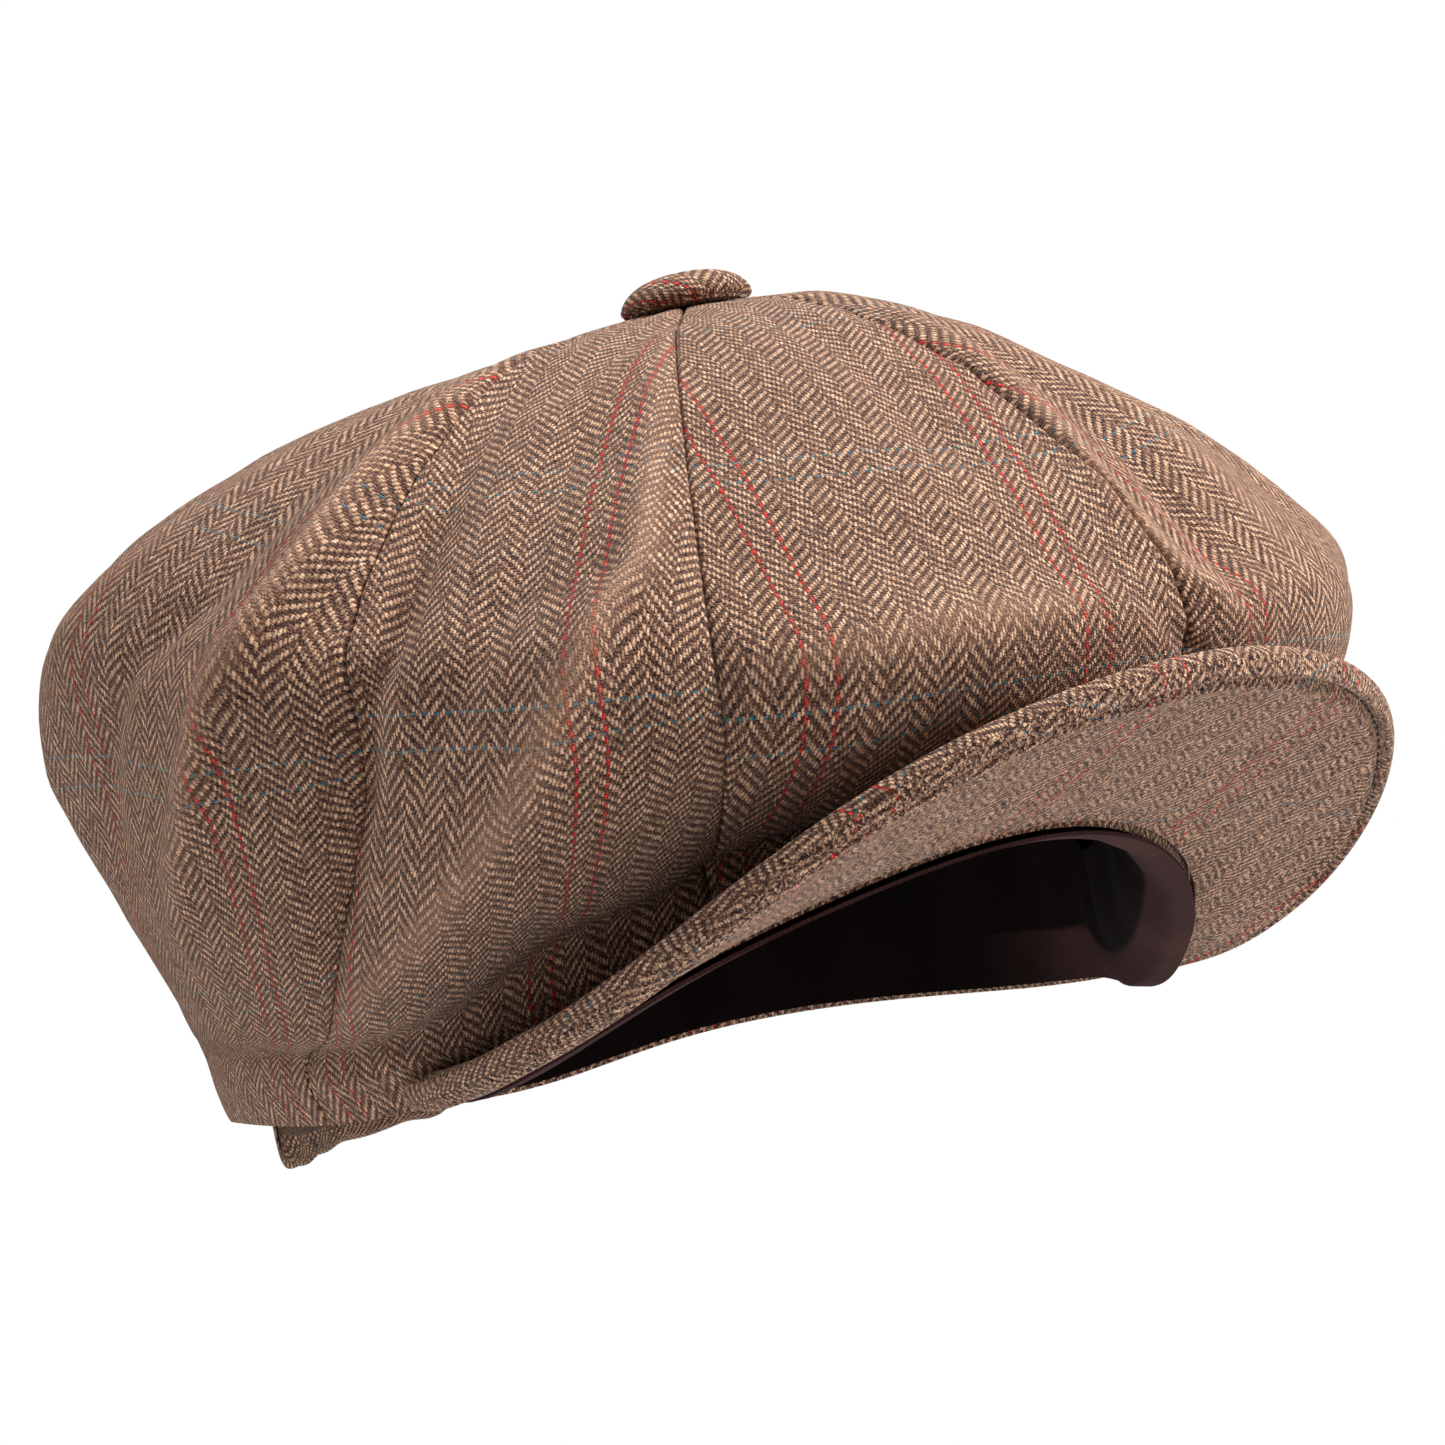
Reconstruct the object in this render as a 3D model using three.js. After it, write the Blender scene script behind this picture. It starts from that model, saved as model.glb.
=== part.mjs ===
// Newsboy cap: an eight-gore tweed crown with a satin lining, a head band with an elastic casing inside
// its back, a sweatband, a stiffened peak and a cloth-covered button on top.
// Millimetres, +Z up. The origin is the centre of the head opening, level with the lowest edge of the
// elastic casing. The peak points towards -Y, and the wearer's left is +X.
import * as THREE from 'three';

// ---------- driving dimensions ----------
const HEAD_A = 83; // outside half width of the head band
const HEAD_B = 104; // outside half length of the head band
const BAND_HEIGHT = 10;
const BAND_THICKNESS = 2.8;
const BAND_RAISE = 5; // height of the band's lower edge at the back centre
const FRONT_ARCH = 23; // it rises this much more over the forehead
const EAR_ARCH = 5; // and this much over the ears
const PEAK_END_DROP = 2.5; // and falls this much at the peak's ends
const ARCH_POWER = 1.5; // how quickly the forehead arch falls from its middle,
const ARCH_POWER_ADDED = 1; // and how much more quickly near the peak's ends, which rest on a table
const PEAK_SPAN = rad(76); // half angle that the peak takes of the head opening
const CASING_FROM = rad(173); // the elastic casing lies inside the band from here on the wearer's left
const CASING_TO = rad(204); // round the back to here on the right

const CROWN_A = 116; // half width at the fullest line of the crown
const CROWN_FRONT = 115; // reach of the fullest line ahead of the crown's middle
const CROWN_BACK = 130; // and behind it at the back centre,
const CROWN_BACK_SIDE = 108; // falling to this towards the sides
const CROWN_SHIFT = -26; // the crown's middle sits this far forward of the opening's middle
const FULL_HEIGHT = 79; // mean height of the fullest line
const FULL_TILT = 24.5; // it drops this much at the front and rises as much at the back
const TOP_Y = -38.5;
const TOP_Z = 135;
const TIP_RADIUS = 3; // the gore tips stop here, round the button's thread
const FOOT_RISE = 3; // the gores leave the band upright for this height
const FOOT_FLARE = 0.8;
const UPPER_POWER_R = 1.03; // roundness of the crown above its fullest line
const UPPER_POWER_FRONT = 1.75;
const UPPER_POWER_BACK = 1.1;
const LOWER_POWER = 1.6; // and below it
const UNDER_STEPS = [65, 42, 20].map(rad); // stations down from the fullest line
const OVER_STEPS = [7, 23, 41, 59, 75].map(rad); // stations up from it

// Seams from the front centre round to the back centre, on one half. The full cloth slumps forward,
// so the side seams lean ahead of where they leave the band.
const SEAM_AT_BAND = [0, 40, 92, 135, 180].map(rad);
const SEAM_AT_FULL = [0, 39, 70, 125, 180].map(rad);
const PUFF = 2; // each gore stands this proud between its seams

const TWEED = 1.6;
const LINING = 0.6;
const LINING_DEPTH = 2.2; // outside of the crown to the outside of the lining
const SWEATBAND = 0.8;
const SWEATBAND_DEPTH = 3.2;
const SWEATBAND_WIDTH = 29;
const SWEATBAND_RAISE = 1;
const GAP = 0.3;
const SEAM_GAP_GROWTH = 0.1; // per mm of depth, because the layers inside a curve crowd together
const GORE_STEPS = [8, 12]; // across a gore and up it
const BAND_STEPS = 30;
const SWEATBAND_STEPS = 60;

const CASING_THICKNESS = 3.8;
const CASING_HEIGHT = 17;
const CHANNEL_WALL = 1.2;
const ELASTIC_CLEARANCE = 0.3;
const CASING_STEPS = 10;

const PEAK_DEPTH = 52; // root to edge at the front centre
const PEAK_END_DEPTH = 3.5;
const PEAK_POWER = 1.62; // fullness of the crescent
const PEAK_FAN = 1.27; // how far the peak's ribs fan out, against the angle of the opening
const PEAK_RISE_MIDDLE = 0.32; // slope up from root to edge at the front centre
const PEAK_RISE_CHANGE = -0.54; // change of that slope towards the ends
const BOARD = 1.6;
const COVER = 1.5;
const BOARD_REACH = 0.95; // the board stops short of the rolled edge
const UPRIGHT_REACH = 0.3; // part of the depth over which the layers turn square to the peak
const BOARD_INSET = 0.01;
const PEAK_STEPS = 32;
const COVER_STEPS = 6;
const EDGE_CLOSE = 0.15; // half the gap where the two covers meet at the edge

const BUTTON_R = 12;
const BUTTON_HEIGHT = 5.4;
const BUTTON_EDGE = 2; // height where its dome begins
const BUTTON_ROUND = 1; // its lower edge is taken in by this
const BUTTON_FLOAT = 0.5; // underside of the button over the gore tips
const DOME_POWER = 0.8; // below 1 the dome is flatter on top than an ellipse
const DOME_STEPS = 6;
const COVER_WALL = 1;
const SHELL_WALL = 0.6;
const TURN_UNDER = 3.5; // the button's cloth reaches in this far underneath
const PLATE_BOTTOM = 1.4;
const PLATE_TOP = 2.2;
const THREAD_R = 1.1;
const THREAD_SEGMENTS = 16;
const KNOT_R = 4;
const KNOT_HEIGHT = 1;

const DELTA = 1e-3; // step for directions along the surfaces

// ---------- materials ----------
const cloth = (color, roughness = 0.95) => new THREE.MeshStandardMaterial({ color, roughness, metalness: 0 });
const tweed = () => cloth(0x8c6f58);
const satin = () => cloth(0x2b1d1c, 0.55);
const ribbon = () => cloth(0x453334, 0.8);
const board = () => cloth(0xc8c2b4, 0.7);
const rubberised = () => cloth(0xe6e2da, 0.85);
const thread = () => cloth(0x5a4536, 0.8);
const steel = () => new THREE.MeshStandardMaterial({ color: 0xb9bcc0, roughness: 0.35, metalness: 1 });

// ---------- helpers ----------
function rad(degrees) {
  return (degrees * Math.PI) / 180;
}

const lerp = THREE.MathUtils.lerp;
const smooth = (x) => THREE.MathUtils.smoothstep(x, 0, 1);

const cap = new THREE.Group();

function add(name, geometry, material) {
  const mesh = new THREE.Mesh(geometry, material);
  mesh.name = name;
  cap.add(mesh);
  return mesh;
}

// A closed mesh from points and quads, turned so that its faces point outwards.
function closedMesh(points, quads) {
  const triangles = quads.flatMap(([a, b, c, d]) => [[a, b, c], [a, c, d]]);
  let volume = 0;
  for (const [a, b, c] of triangles) {
    volume += points[a].dot(new THREE.Vector3().crossVectors(points[b], points[c]));
  }
  const index = triangles.flatMap(([a, b, c]) => (volume > 0 ? [a, b, c] : [a, c, b]));
  const geometry = new THREE.BufferGeometry().setFromPoints(points);
  geometry.setIndex(index);
  geometry.computeVertexNormals();
  return geometry;
}

// A sheet with thickness: at(u, v, side) gives its two faces, side 0 and side 1.
function sheet(nu, nv, at) {
  const points = [];
  for (const side of [0, 1]) {
    for (let j = 0; j <= nv; j++) {
      for (let i = 0; i <= nu; i++) points.push(at(i / nu, j / nv, side));
    }
  }
  const id = (i, j, side) => side * (nu + 1) * (nv + 1) + j * (nu + 1) + i;
  const quads = [];
  for (let j = 0; j < nv; j++) {
    for (let i = 0; i < nu; i++) {
      quads.push([id(i, j, 0), id(i + 1, j, 0), id(i + 1, j + 1, 0), id(i, j + 1, 0)]);
      quads.push([id(i, j, 1), id(i, j + 1, 1), id(i + 1, j + 1, 1), id(i + 1, j, 1)]);
    }
  }
  for (let i = 0; i < nu; i++) {
    quads.push([id(i, 0, 0), id(i, 0, 1), id(i + 1, 0, 1), id(i + 1, 0, 0)]);
    quads.push([id(i, nv, 0), id(i + 1, nv, 0), id(i + 1, nv, 1), id(i, nv, 1)]);
  }
  for (let j = 0; j < nv; j++) {
    quads.push([id(0, j, 0), id(0, j + 1, 0), id(0, j + 1, 1), id(0, j, 1)]);
    quads.push([id(nu, j, 0), id(nu, j, 1), id(nu, j + 1, 1), id(nu, j + 1, 0)]);
  }
  return closedMesh(points, quads);
}

// A sleeve: an outer and an inner loop of corners swept along u, open at both ends.
function sleeve(steps, outer, inner) {
  const n = outer.length;
  const points = [];
  for (let i = 0; i <= steps; i++) points.push(...[...outer, ...inner].map((corner) => corner(i / steps)));
  const id = (i, k, loop) => i * 2 * n + loop * n + (k % n);
  const quads = [];
  for (let k = 0; k < n; k++) {
    for (let i = 0; i < steps; i++) {
      quads.push([id(i, k, 0), id(i, k + 1, 0), id(i + 1, k + 1, 0), id(i + 1, k, 0)]);
      quads.push([id(i, k, 1), id(i + 1, k, 1), id(i + 1, k + 1, 1), id(i, k + 1, 1)]);
    }
    quads.push([id(0, k, 0), id(0, k, 1), id(0, k + 1, 1), id(0, k + 1, 0)]);
    quads.push([id(steps, k, 0), id(steps, k + 1, 0), id(steps, k + 1, 1), id(steps, k, 1)]);
  }
  return closedMesh(points, quads);
}

// A body of revolution about Z from [radius, height] pairs that run down from the axis and back to it.
function turned(profile, segments = 28) {
  const upwards = profile.map(([r, z]) => new THREE.Vector2(r, z)).reverse();
  return new THREE.LatheGeometry(upwards, segments).rotateX(Math.PI / 2);
}

// ---------- head opening ----------
// Height of the band's lower edge at an angle from the front centre.
function rimHeight(theta) {
  const angle = Math.abs(theta);
  const peakEnd = BAND_RAISE - PEAK_END_DROP;
  if (angle < PEAK_SPAN) {
    const along = angle / PEAK_SPAN;
    const arch = Math.cos((Math.PI / 2) * along) ** (ARCH_POWER + ARCH_POWER_ADDED * along ** 2);
    return lerp(peakEnd, BAND_RAISE + FRONT_ARCH, arch);
  }
  const along = (angle - PEAK_SPAN) / (Math.PI - PEAK_SPAN);
  return lerp(peakEnd, BAND_RAISE, smooth(along)) + EAR_ARCH * Math.sin(Math.PI * along) ** 2;
}

// A point of the band: depth is measured inwards from its outside, height from its lower edge.
function bandPoint(theta, depth, height) {
  const a = HEAD_A - depth;
  const b = HEAD_B - depth;
  return new THREE.Vector3(a * Math.sin(theta), -b * Math.cos(theta), rimHeight(theta) + height);
}

function bandStrip(from, to, steps, depth, thickness, bottom, top) {
  const at = (u, v, side) => bandPoint(lerp(from, to, u), depth + side * thickness, lerp(bottom, top, v));
  return sheet(steps, 1, at);
}

// ---------- crown ----------
function crownMeridian(psi) {
  const sin = Math.sin(psi);
  const cos = Math.cos(psi);
  const reach = cos > 0 ? CROWN_FRONT : lerp(CROWN_BACK_SIDE, CROWN_BACK, cos ** 2);
  const fullHeight = FULL_HEIGHT - FULL_TILT * cos;
  const foot = bandPoint(psi, 0, BAND_HEIGHT + GAP);
  const points = [foot, new THREE.Vector3(
    foot.x + FOOT_FLARE * sin, foot.y - FOOT_FLARE * cos, foot.z + FOOT_RISE)];
  for (const angle of UNDER_STEPS) {
    const out = Math.cos(angle) ** LOWER_POWER;
    points.push(new THREE.Vector3(
      lerp(HEAD_A, CROWN_A, out) * sin,
      CROWN_SHIFT * out - lerp(HEAD_B, reach, out) * cos,
      lerp(fullHeight, foot.z, Math.sin(angle))));
  }
  const upperPower = lerp(UPPER_POWER_BACK, UPPER_POWER_FRONT, (1 + cos) / 2);
  const over = OVER_STEPS.map((angle) => [
    Math.cos(angle) ** UPPER_POWER_R, Math.sin(angle) ** upperPower]);
  over.push([TIP_RADIUS / CROWN_A, 1]);
  for (const [out, up] of over) {
    points.push(new THREE.Vector3(
      CROWN_A * out * sin,
      lerp(TOP_Y, CROWN_SHIFT, out) - reach * out * cos,
      lerp(fullHeight, TOP_Z, up)));
  }
  return new THREE.CatmullRomCurve3(points, false, 'centripetal');
}

const STATIONS = UNDER_STEPS.length + OVER_STEPS.length + 2;
const T_FULL = (UNDER_STEPS.length + 2) / STATIONS; // where a meridian passes the fullest line

function crownPoint(psi, t) {
  return crownMeridian(psi).getPoint(t);
}

function crownNormal(psi, t) {
  const along = crownPoint(psi, Math.min(t + DELTA, 1)).sub(crownPoint(psi, Math.max(t - DELTA, 0)));
  const round = crownPoint(psi + DELTA, t).sub(crownPoint(psi - DELTA, t));
  return round.cross(along).normalize();
}

// Angle of seam k (0 at the front centre, 4 at the back centre) at a station of the crown.
function seamAngle(k, t) {
  return lerp(SEAM_AT_BAND[k], SEAM_AT_FULL[k], smooth(t / T_FULL));
}

// Angle that a distance round the crown takes, at an angle and a station of it.
function angleOf(distance, psi, t) {
  return (distance * 2 * DELTA) / crownPoint(psi + DELTA, t).distanceTo(crownPoint(psi - DELTA, t));
}

// One gore, or its lining, between seams k and k + 1 of one half.
function gore(k, half, depth, thickness) {
  const seamGap = GAP * (0.5 + SEAM_GAP_GROWTH * depth);
  const edge = (seam, v) => angleOf(seamGap, seamAngle(seam, v), v);
  const at = (u, v, side) => {
    const psi = half * lerp(seamAngle(k, v) + edge(k, v), seamAngle(k + 1, v) - edge(k + 1, v), u);
    const puff = PUFF * (1 - (2 * u - 1) ** 2) * Math.sin(Math.PI * v);
    return crownPoint(psi, v).addScaledVector(crownNormal(psi, v), puff - depth - side * thickness);
  };
  return sheet(...GORE_STEPS, at);
}

let gores = 0;
for (const half of [1, -1]) {
  for (let k = 0; k < SEAM_AT_BAND.length - 1; k++) {
    gores += 1;
    add(`crown_gore_${gores}`, gore(k, half, 0, TWEED), tweed());
    add(`lining_gore_${gores}`, gore(k, half, LINING_DEPTH, LINING), satin());
  }
}

// ---------- head band, elastic and sweatband ----------
const bandEnd = (0.6 * GAP) / HEAD_A; // angle between a strip's end and the centre line
for (const [name, half] of [['left', 1], ['right', -1]]) {
  const strip = bandStrip(half * bandEnd, half * (Math.PI - bandEnd), BAND_STEPS,
    0, BAND_THICKNESS, 0, BAND_HEIGHT);
  add(`head_band_${name}`, strip, tweed());
}

// The corners of the casing's section, drawn in by an inset, each as a curve round the back.
const casingOutside = BAND_THICKNESS + GAP;
const casingCorners = (inset) => [[0, 0], [1, 0], [1, 1], [0, 1]].map(([i, j]) => (u) => {
  const theta = lerp(CASING_FROM, CASING_TO, u);
  const depth = casingOutside + lerp(inset, CASING_THICKNESS - inset, i);
  return bandPoint(theta, depth, 0).setZ(lerp(inset, CASING_HEIGHT - inset, j));
});
add('elastic_casing', sleeve(CASING_STEPS, casingCorners(0), casingCorners(CHANNEL_WALL)), tweed());

const elasticAt = (u, v, side) => {
  const [a, b, c, d] = casingCorners(CHANNEL_WALL + ELASTIC_CLEARANCE).map((corner) => corner(u));
  return side ? b.lerp(c, v) : a.lerp(d, v);
};
add('back_elastic', sheet(CASING_STEPS, 1, elasticAt), rubberised());

const sweatbandGap = (2 * GAP) / HEAD_A; // angle that the sweatband stays clear of the casing
add('sweatband', bandStrip(CASING_TO + sweatbandGap - 2 * Math.PI, CASING_FROM - sweatbandGap, SWEATBAND_STEPS,
  SWEATBAND_DEPTH, SWEATBAND, SWEATBAND_RAISE, SWEATBAND_RAISE + SWEATBAND_WIDTH), ribbon());

// ---------- peak ----------
// The peak's middle surface: across from -1 to 1 between its ends, out from 0 at the root to 1.
function peakPoint(across, out) {
  const theta = across * PEAK_SPAN;
  const root = bandPoint(theta, -GAP, BOARD / 2 + COVER + GAP);
  const depth = lerp(PEAK_DEPTH, PEAK_END_DEPTH, Math.abs(across) ** PEAK_POWER) * out;
  const fan = PEAK_FAN * theta;
  const rise = PEAK_RISE_MIDDLE + PEAK_RISE_CHANGE * across ** 2;
  return root.add(new THREE.Vector3(Math.sin(fan) * depth, -Math.cos(fan) * depth, rise * depth));
}

// The way its layers stack: upright against the band, square to the peak further out.
function peakStack(across, out) {
  const a = THREE.MathUtils.clamp(across, DELTA - 1, 1 - DELTA);
  const ribs = peakPoint(a + DELTA, 0.5).sub(peakPoint(a - DELTA, 0.5));
  const length = peakPoint(a, 1).sub(peakPoint(a, 0));
  const square = length.cross(ribs).normalize();
  return new THREE.Vector3(0, 0, 1).lerp(square, smooth(out / UPRIGHT_REACH)).normalize();
}

// A cover's rows run out to the board's edge in even steps, then close on the other cover.
function coverOut(v) {
  const onBoard = COVER_STEPS / (COVER_STEPS + 1);
  return v <= onBoard ? (v / onBoard) * BOARD_REACH : lerp(BOARD_REACH, 1, (v - onBoard) / (1 - onBoard));
}

function peakCover(side) {
  const at = (u, v, face) => {
    const out = coverOut(v);
    const closing = (out - BOARD_REACH) / (1 - BOARD_REACH);
    const flat = BOARD / 2 + GAP + face * COVER;
    const height = closing > 0 ? lerp(flat, face ? flat / 2 : EDGE_CLOSE, closing) : flat;
    return peakPoint(2 * u - 1, out).addScaledVector(peakStack(2 * u - 1, out), side * height);
  };
  return sheet(PEAK_STEPS, COVER_STEPS + 1, at);
}

const boardAt = (u, v, face) => {
  const [across, out] = [2 * u - 1, v * (BOARD_REACH - BOARD_INSET)];
  return peakPoint(across, out).addScaledVector(peakStack(across, out), (0.5 - face) * BOARD);
};
add('peak_top_cover', peakCover(1), tweed());
add('peak_board', sheet(PEAK_STEPS, COVER_STEPS, boardAt), board());
add('peak_under_cover', peakCover(-1), tweed());

// ---------- button ----------
// The upper half of a dome's profile, from the axis out to its edge.
function dome(radius, height) {
  return Array.from({ length: DOME_STEPS + 1 }, (_, i) => {
    const angle = (Math.PI / 2) * (i / DOME_STEPS);
    return [radius * Math.sin(angle), lerp(BUTTON_EDGE, height, Math.cos(angle) ** DOME_POWER)];
  });
}

function domeInside(clearance) {
  return dome(BUTTON_R - clearance, BUTTON_HEIGHT - clearance).reverse();
}

const hemR = BUTTON_R - TURN_UNDER;
const plateR = hemR - GAP;
const shellDepth = COVER_WALL + GAP;
const buttonParts = {
  button_cover: [[
    ...dome(BUTTON_R, BUTTON_HEIGHT), [BUTTON_R - BUTTON_ROUND, 0], [hemR, 0],
    [hemR, COVER_WALL], [BUTTON_R - BUTTON_ROUND - COVER_WALL, COVER_WALL],
    ...domeInside(COVER_WALL)], tweed()],
  button_shell: [[
    ...dome(BUTTON_R - shellDepth, BUTTON_HEIGHT - shellDepth), ...domeInside(shellDepth + SHELL_WALL),
  ], steel()],
  button_back_plate: [
    [[0, PLATE_TOP], [plateR, PLATE_TOP], [plateR, PLATE_BOTTOM], [0, PLATE_BOTTOM]], steel()],
};
const button = new THREE.Group();
button.position.set(0, TOP_Y, TOP_Z + BUTTON_FLOAT);
for (const [name, [profile, material]] of Object.entries(buttonParts)) {
  const mesh = new THREE.Mesh(turned(profile), material);
  mesh.name = name;
  button.add(mesh);
}
// Thread from the button's back plate down through the gore tips to a knot under the lining.
const threadTop = PLATE_BOTTOM - GAP;
const knotTop = -BUTTON_FLOAT - LINING_DEPTH - LINING - 2 * GAP;
const stitching = new THREE.Mesh(turned([[0, threadTop], [THREAD_R, threadTop], [THREAD_R, knotTop],
  [KNOT_R, knotTop], [KNOT_R, knotTop - KNOT_HEIGHT], [0, knotTop - KNOT_HEIGHT]],
THREAD_SEGMENTS), thread());
stitching.name = 'button_thread';
button.add(stitching);
cap.add(button);

export default cap;
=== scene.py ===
from math import cos, pi, radians, sin

import bpy
import numpy as np
from mathutils import Matrix, Vector, noise


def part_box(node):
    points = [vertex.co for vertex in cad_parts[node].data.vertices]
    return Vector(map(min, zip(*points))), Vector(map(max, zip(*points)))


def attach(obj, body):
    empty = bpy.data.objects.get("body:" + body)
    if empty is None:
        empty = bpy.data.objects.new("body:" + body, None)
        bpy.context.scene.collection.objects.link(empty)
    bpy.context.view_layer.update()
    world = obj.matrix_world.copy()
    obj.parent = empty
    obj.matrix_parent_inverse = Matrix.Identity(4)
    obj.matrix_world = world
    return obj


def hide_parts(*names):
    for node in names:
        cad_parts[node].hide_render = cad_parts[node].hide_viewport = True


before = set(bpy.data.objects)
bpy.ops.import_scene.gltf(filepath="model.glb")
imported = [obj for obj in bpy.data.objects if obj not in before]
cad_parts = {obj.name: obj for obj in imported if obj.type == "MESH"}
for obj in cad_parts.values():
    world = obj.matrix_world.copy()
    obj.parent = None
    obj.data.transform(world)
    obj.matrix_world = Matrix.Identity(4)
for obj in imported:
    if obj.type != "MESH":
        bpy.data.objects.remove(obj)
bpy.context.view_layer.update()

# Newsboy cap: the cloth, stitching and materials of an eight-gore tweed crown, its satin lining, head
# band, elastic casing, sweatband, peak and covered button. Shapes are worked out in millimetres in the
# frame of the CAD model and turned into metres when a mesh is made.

MM = 0.001


def box_mm(node):
    low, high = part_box(node)
    return np.array(low) / MM, np.array(high) / MM


# ---------- sizes from the frame ----------
band_low, band_high = box_mm("head_band_left")
button_low, button_high = box_mm("button_cover")
casing_low, casing_high = box_mm("elastic_casing")
HEAD_A = band_high[0]
HEAD_B = band_high[1]
BAND_HEIGHT = 10.0
PEAK_END_Z = band_low[2]
FRONT_Z = band_high[2] - BAND_HEIGHT
CASING_BOTTOM = casing_low[2]
CASING_TOP = casing_high[2]
TOP_Y = (button_low[1] + button_high[1]) / 2
BUTTON_R = (button_high[0] - button_low[0]) / 2
BUTTON_BOTTOM = button_low[2]
BUTTON_HEIGHT = button_high[2] - button_low[2]
# The gores meet a little below the button.
BUTTON_FLOAT = 0.5
TOP_Z = BUTTON_BOTTOM - BUTTON_FLOAT

# ---------- shape of the opening ----------
BACK_Z = 5.0
EAR_ARCH = 5.0
ARCH_POWER = 1.5
ARCH_POWER_ADDED = 1.0
PEAK_SPAN = radians(76)
CASING_FROM = radians(173)
CASING_TO = radians(204)
BAND_THICKNESS = 2.8
GAP = 0.3

# ---------- shape of the crown ----------
# The fullest line: its half width, its reach ahead, behind and to the sides of its middle, how far
# that middle lies behind the opening's, and its height and tilt.
CROWN_A = 116.0
CROWN_FRONT = 115.0
CROWN_BACK = 130.0
CROWN_BACK_SIDE = 108.0
CROWN_SHIFT = -26.0
FULL_HEIGHT = 79.0
FULL_TILT = 24.5
TIP_RADIUS = 3.0
# The cloth's first step above the band, and the roundness of the section above and below the full line.
FOOT_RISE = 3.0
FOOT_FLARE = 0.8
UPPER_POWER_R = 1.03
UPPER_POWER_FRONT = 1.75
UPPER_POWER_BACK = 1.1
LOWER_POWER = 1.6
# Where the section has its points, in degrees below and above the full line.
UNDER_STEPS = np.radians([65, 42, 20])
OVER_STEPS = np.radians([7, 23, 41, 59, 75])
T_FULL = 0.5
PUFF = 2.0
TWEED = 1.5
LINING = 0.5
LINING_DEPTH = 2.4

# Seams in degrees from the front centre, the wearer's right negative, at the band and at the fullest
# line. The full cloth slumps, so the front seam leans to the left and the side seams lean forward.
SEAMS = [
    (-180, -180), (-135, -125), (-92, -70), (-40, -38), (0, 5), (40, 43), (92, 72), (135, 125), (180, 180)]

# ---------- weave, in millimetres ----------
WARP = 0.54
PICK = 0.52
COLUMN = 8
CHECK_WARPS = 90
CHECK_PICKS = 96
PAIR_WARPS = 9
PAIR_PICKS = 10
# Each yarn passes over two others and under two.
OVER = 2.0
REPEAT = 2 * OVER


def mix(a, b, t):
    return a + (b - a) * t


def smooth(x):
    x = np.clip(x, 0, 1)
    return x * x * (3 - 2 * x)


def bell(distance, reach):
    return np.exp(-(distance / reach) ** 2)


def unit(vectors):
    return vectors / np.linalg.norm(vectors, axis=-1, keepdims=True)


# ---------- head opening ----------
# Over the wearer's right temple the soft rim rides up and the peak bends down.
BENT_MIDDLE = radians(-50)
BENT_REACH = radians(20)
RIM_LIFT = 3.6
# Behind the left ear it sags a little beside the casing.
SAG_MIDDLE = radians(158)
SAG_REACH = radians(15)
RIM_SAG = 2.0
PEAK_DROOP = -0.3


def bent(theta):
    return bell(theta - BENT_MIDDLE, BENT_REACH)


def rim_height(theta):
    angle = np.abs(theta)
    ahead = np.clip(angle / PEAK_SPAN, 0, 1)
    arch = np.cos(ahead * pi / 2).clip(0) ** (ARCH_POWER + ARCH_POWER_ADDED * ahead ** 2)
    front = mix(PEAK_END_Z, FRONT_Z, arch)
    along = np.clip((angle - PEAK_SPAN) / (pi - PEAK_SPAN), 0, 1)
    back = mix(PEAK_END_Z, BACK_Z, smooth(along)) + EAR_ARCH * np.sin(pi * along) ** 2
    sag = RIM_SAG * bell(theta - SAG_MIDDLE, SAG_REACH)
    return np.where(angle < PEAK_SPAN, front, back) + RIM_LIFT * bent(theta) - sag


def band_point(theta, depth, height):
    """A point of the head band: depth is inwards from its outside, height is above its lower edge."""
    x = (HEAD_A - depth) * np.sin(theta)
    y = -(HEAD_B - depth) * np.cos(theta)
    return np.stack(np.broadcast_arrays(x, y, rim_height(theta) + height), -1)


# ---------- crown ----------
def crown_controls(psi):
    s, c = np.sin(psi), np.cos(psi)
    reach = np.where(c > 0, CROWN_FRONT, mix(CROWN_BACK_SIDE, CROWN_BACK, c ** 2))
    full = FULL_HEIGHT - FULL_TILT * c
    foot = band_point(psi, 0, BAND_HEIGHT + GAP)
    points = [foot, foot + np.stack([FOOT_FLARE * s, -FOOT_FLARE * c, FOOT_RISE + 0 * s], -1)]
    for angle in UNDER_STEPS:
        out = cos(angle) ** LOWER_POWER
        points.append(np.stack([
            mix(HEAD_A, CROWN_A, out) * s,
            CROWN_SHIFT * out - mix(HEAD_B, reach, out) * c,
            mix(full, foot[..., 2], sin(angle))], -1))
    power = mix(UPPER_POWER_BACK, UPPER_POWER_FRONT, (1 + c) / 2)
    over = [(cos(angle) ** UPPER_POWER_R, sin(angle) ** power) for angle in OVER_STEPS]
    over.append((TIP_RADIUS / CROWN_A, 1.0))
    for out, up in over:
        points.append(np.stack([
            CROWN_A * out * s,
            mix(TOP_Y, CROWN_SHIFT, out) - reach * out * c,
            mix(full, TOP_Z, up)], -1))
    return np.stack(points, -2)


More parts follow.
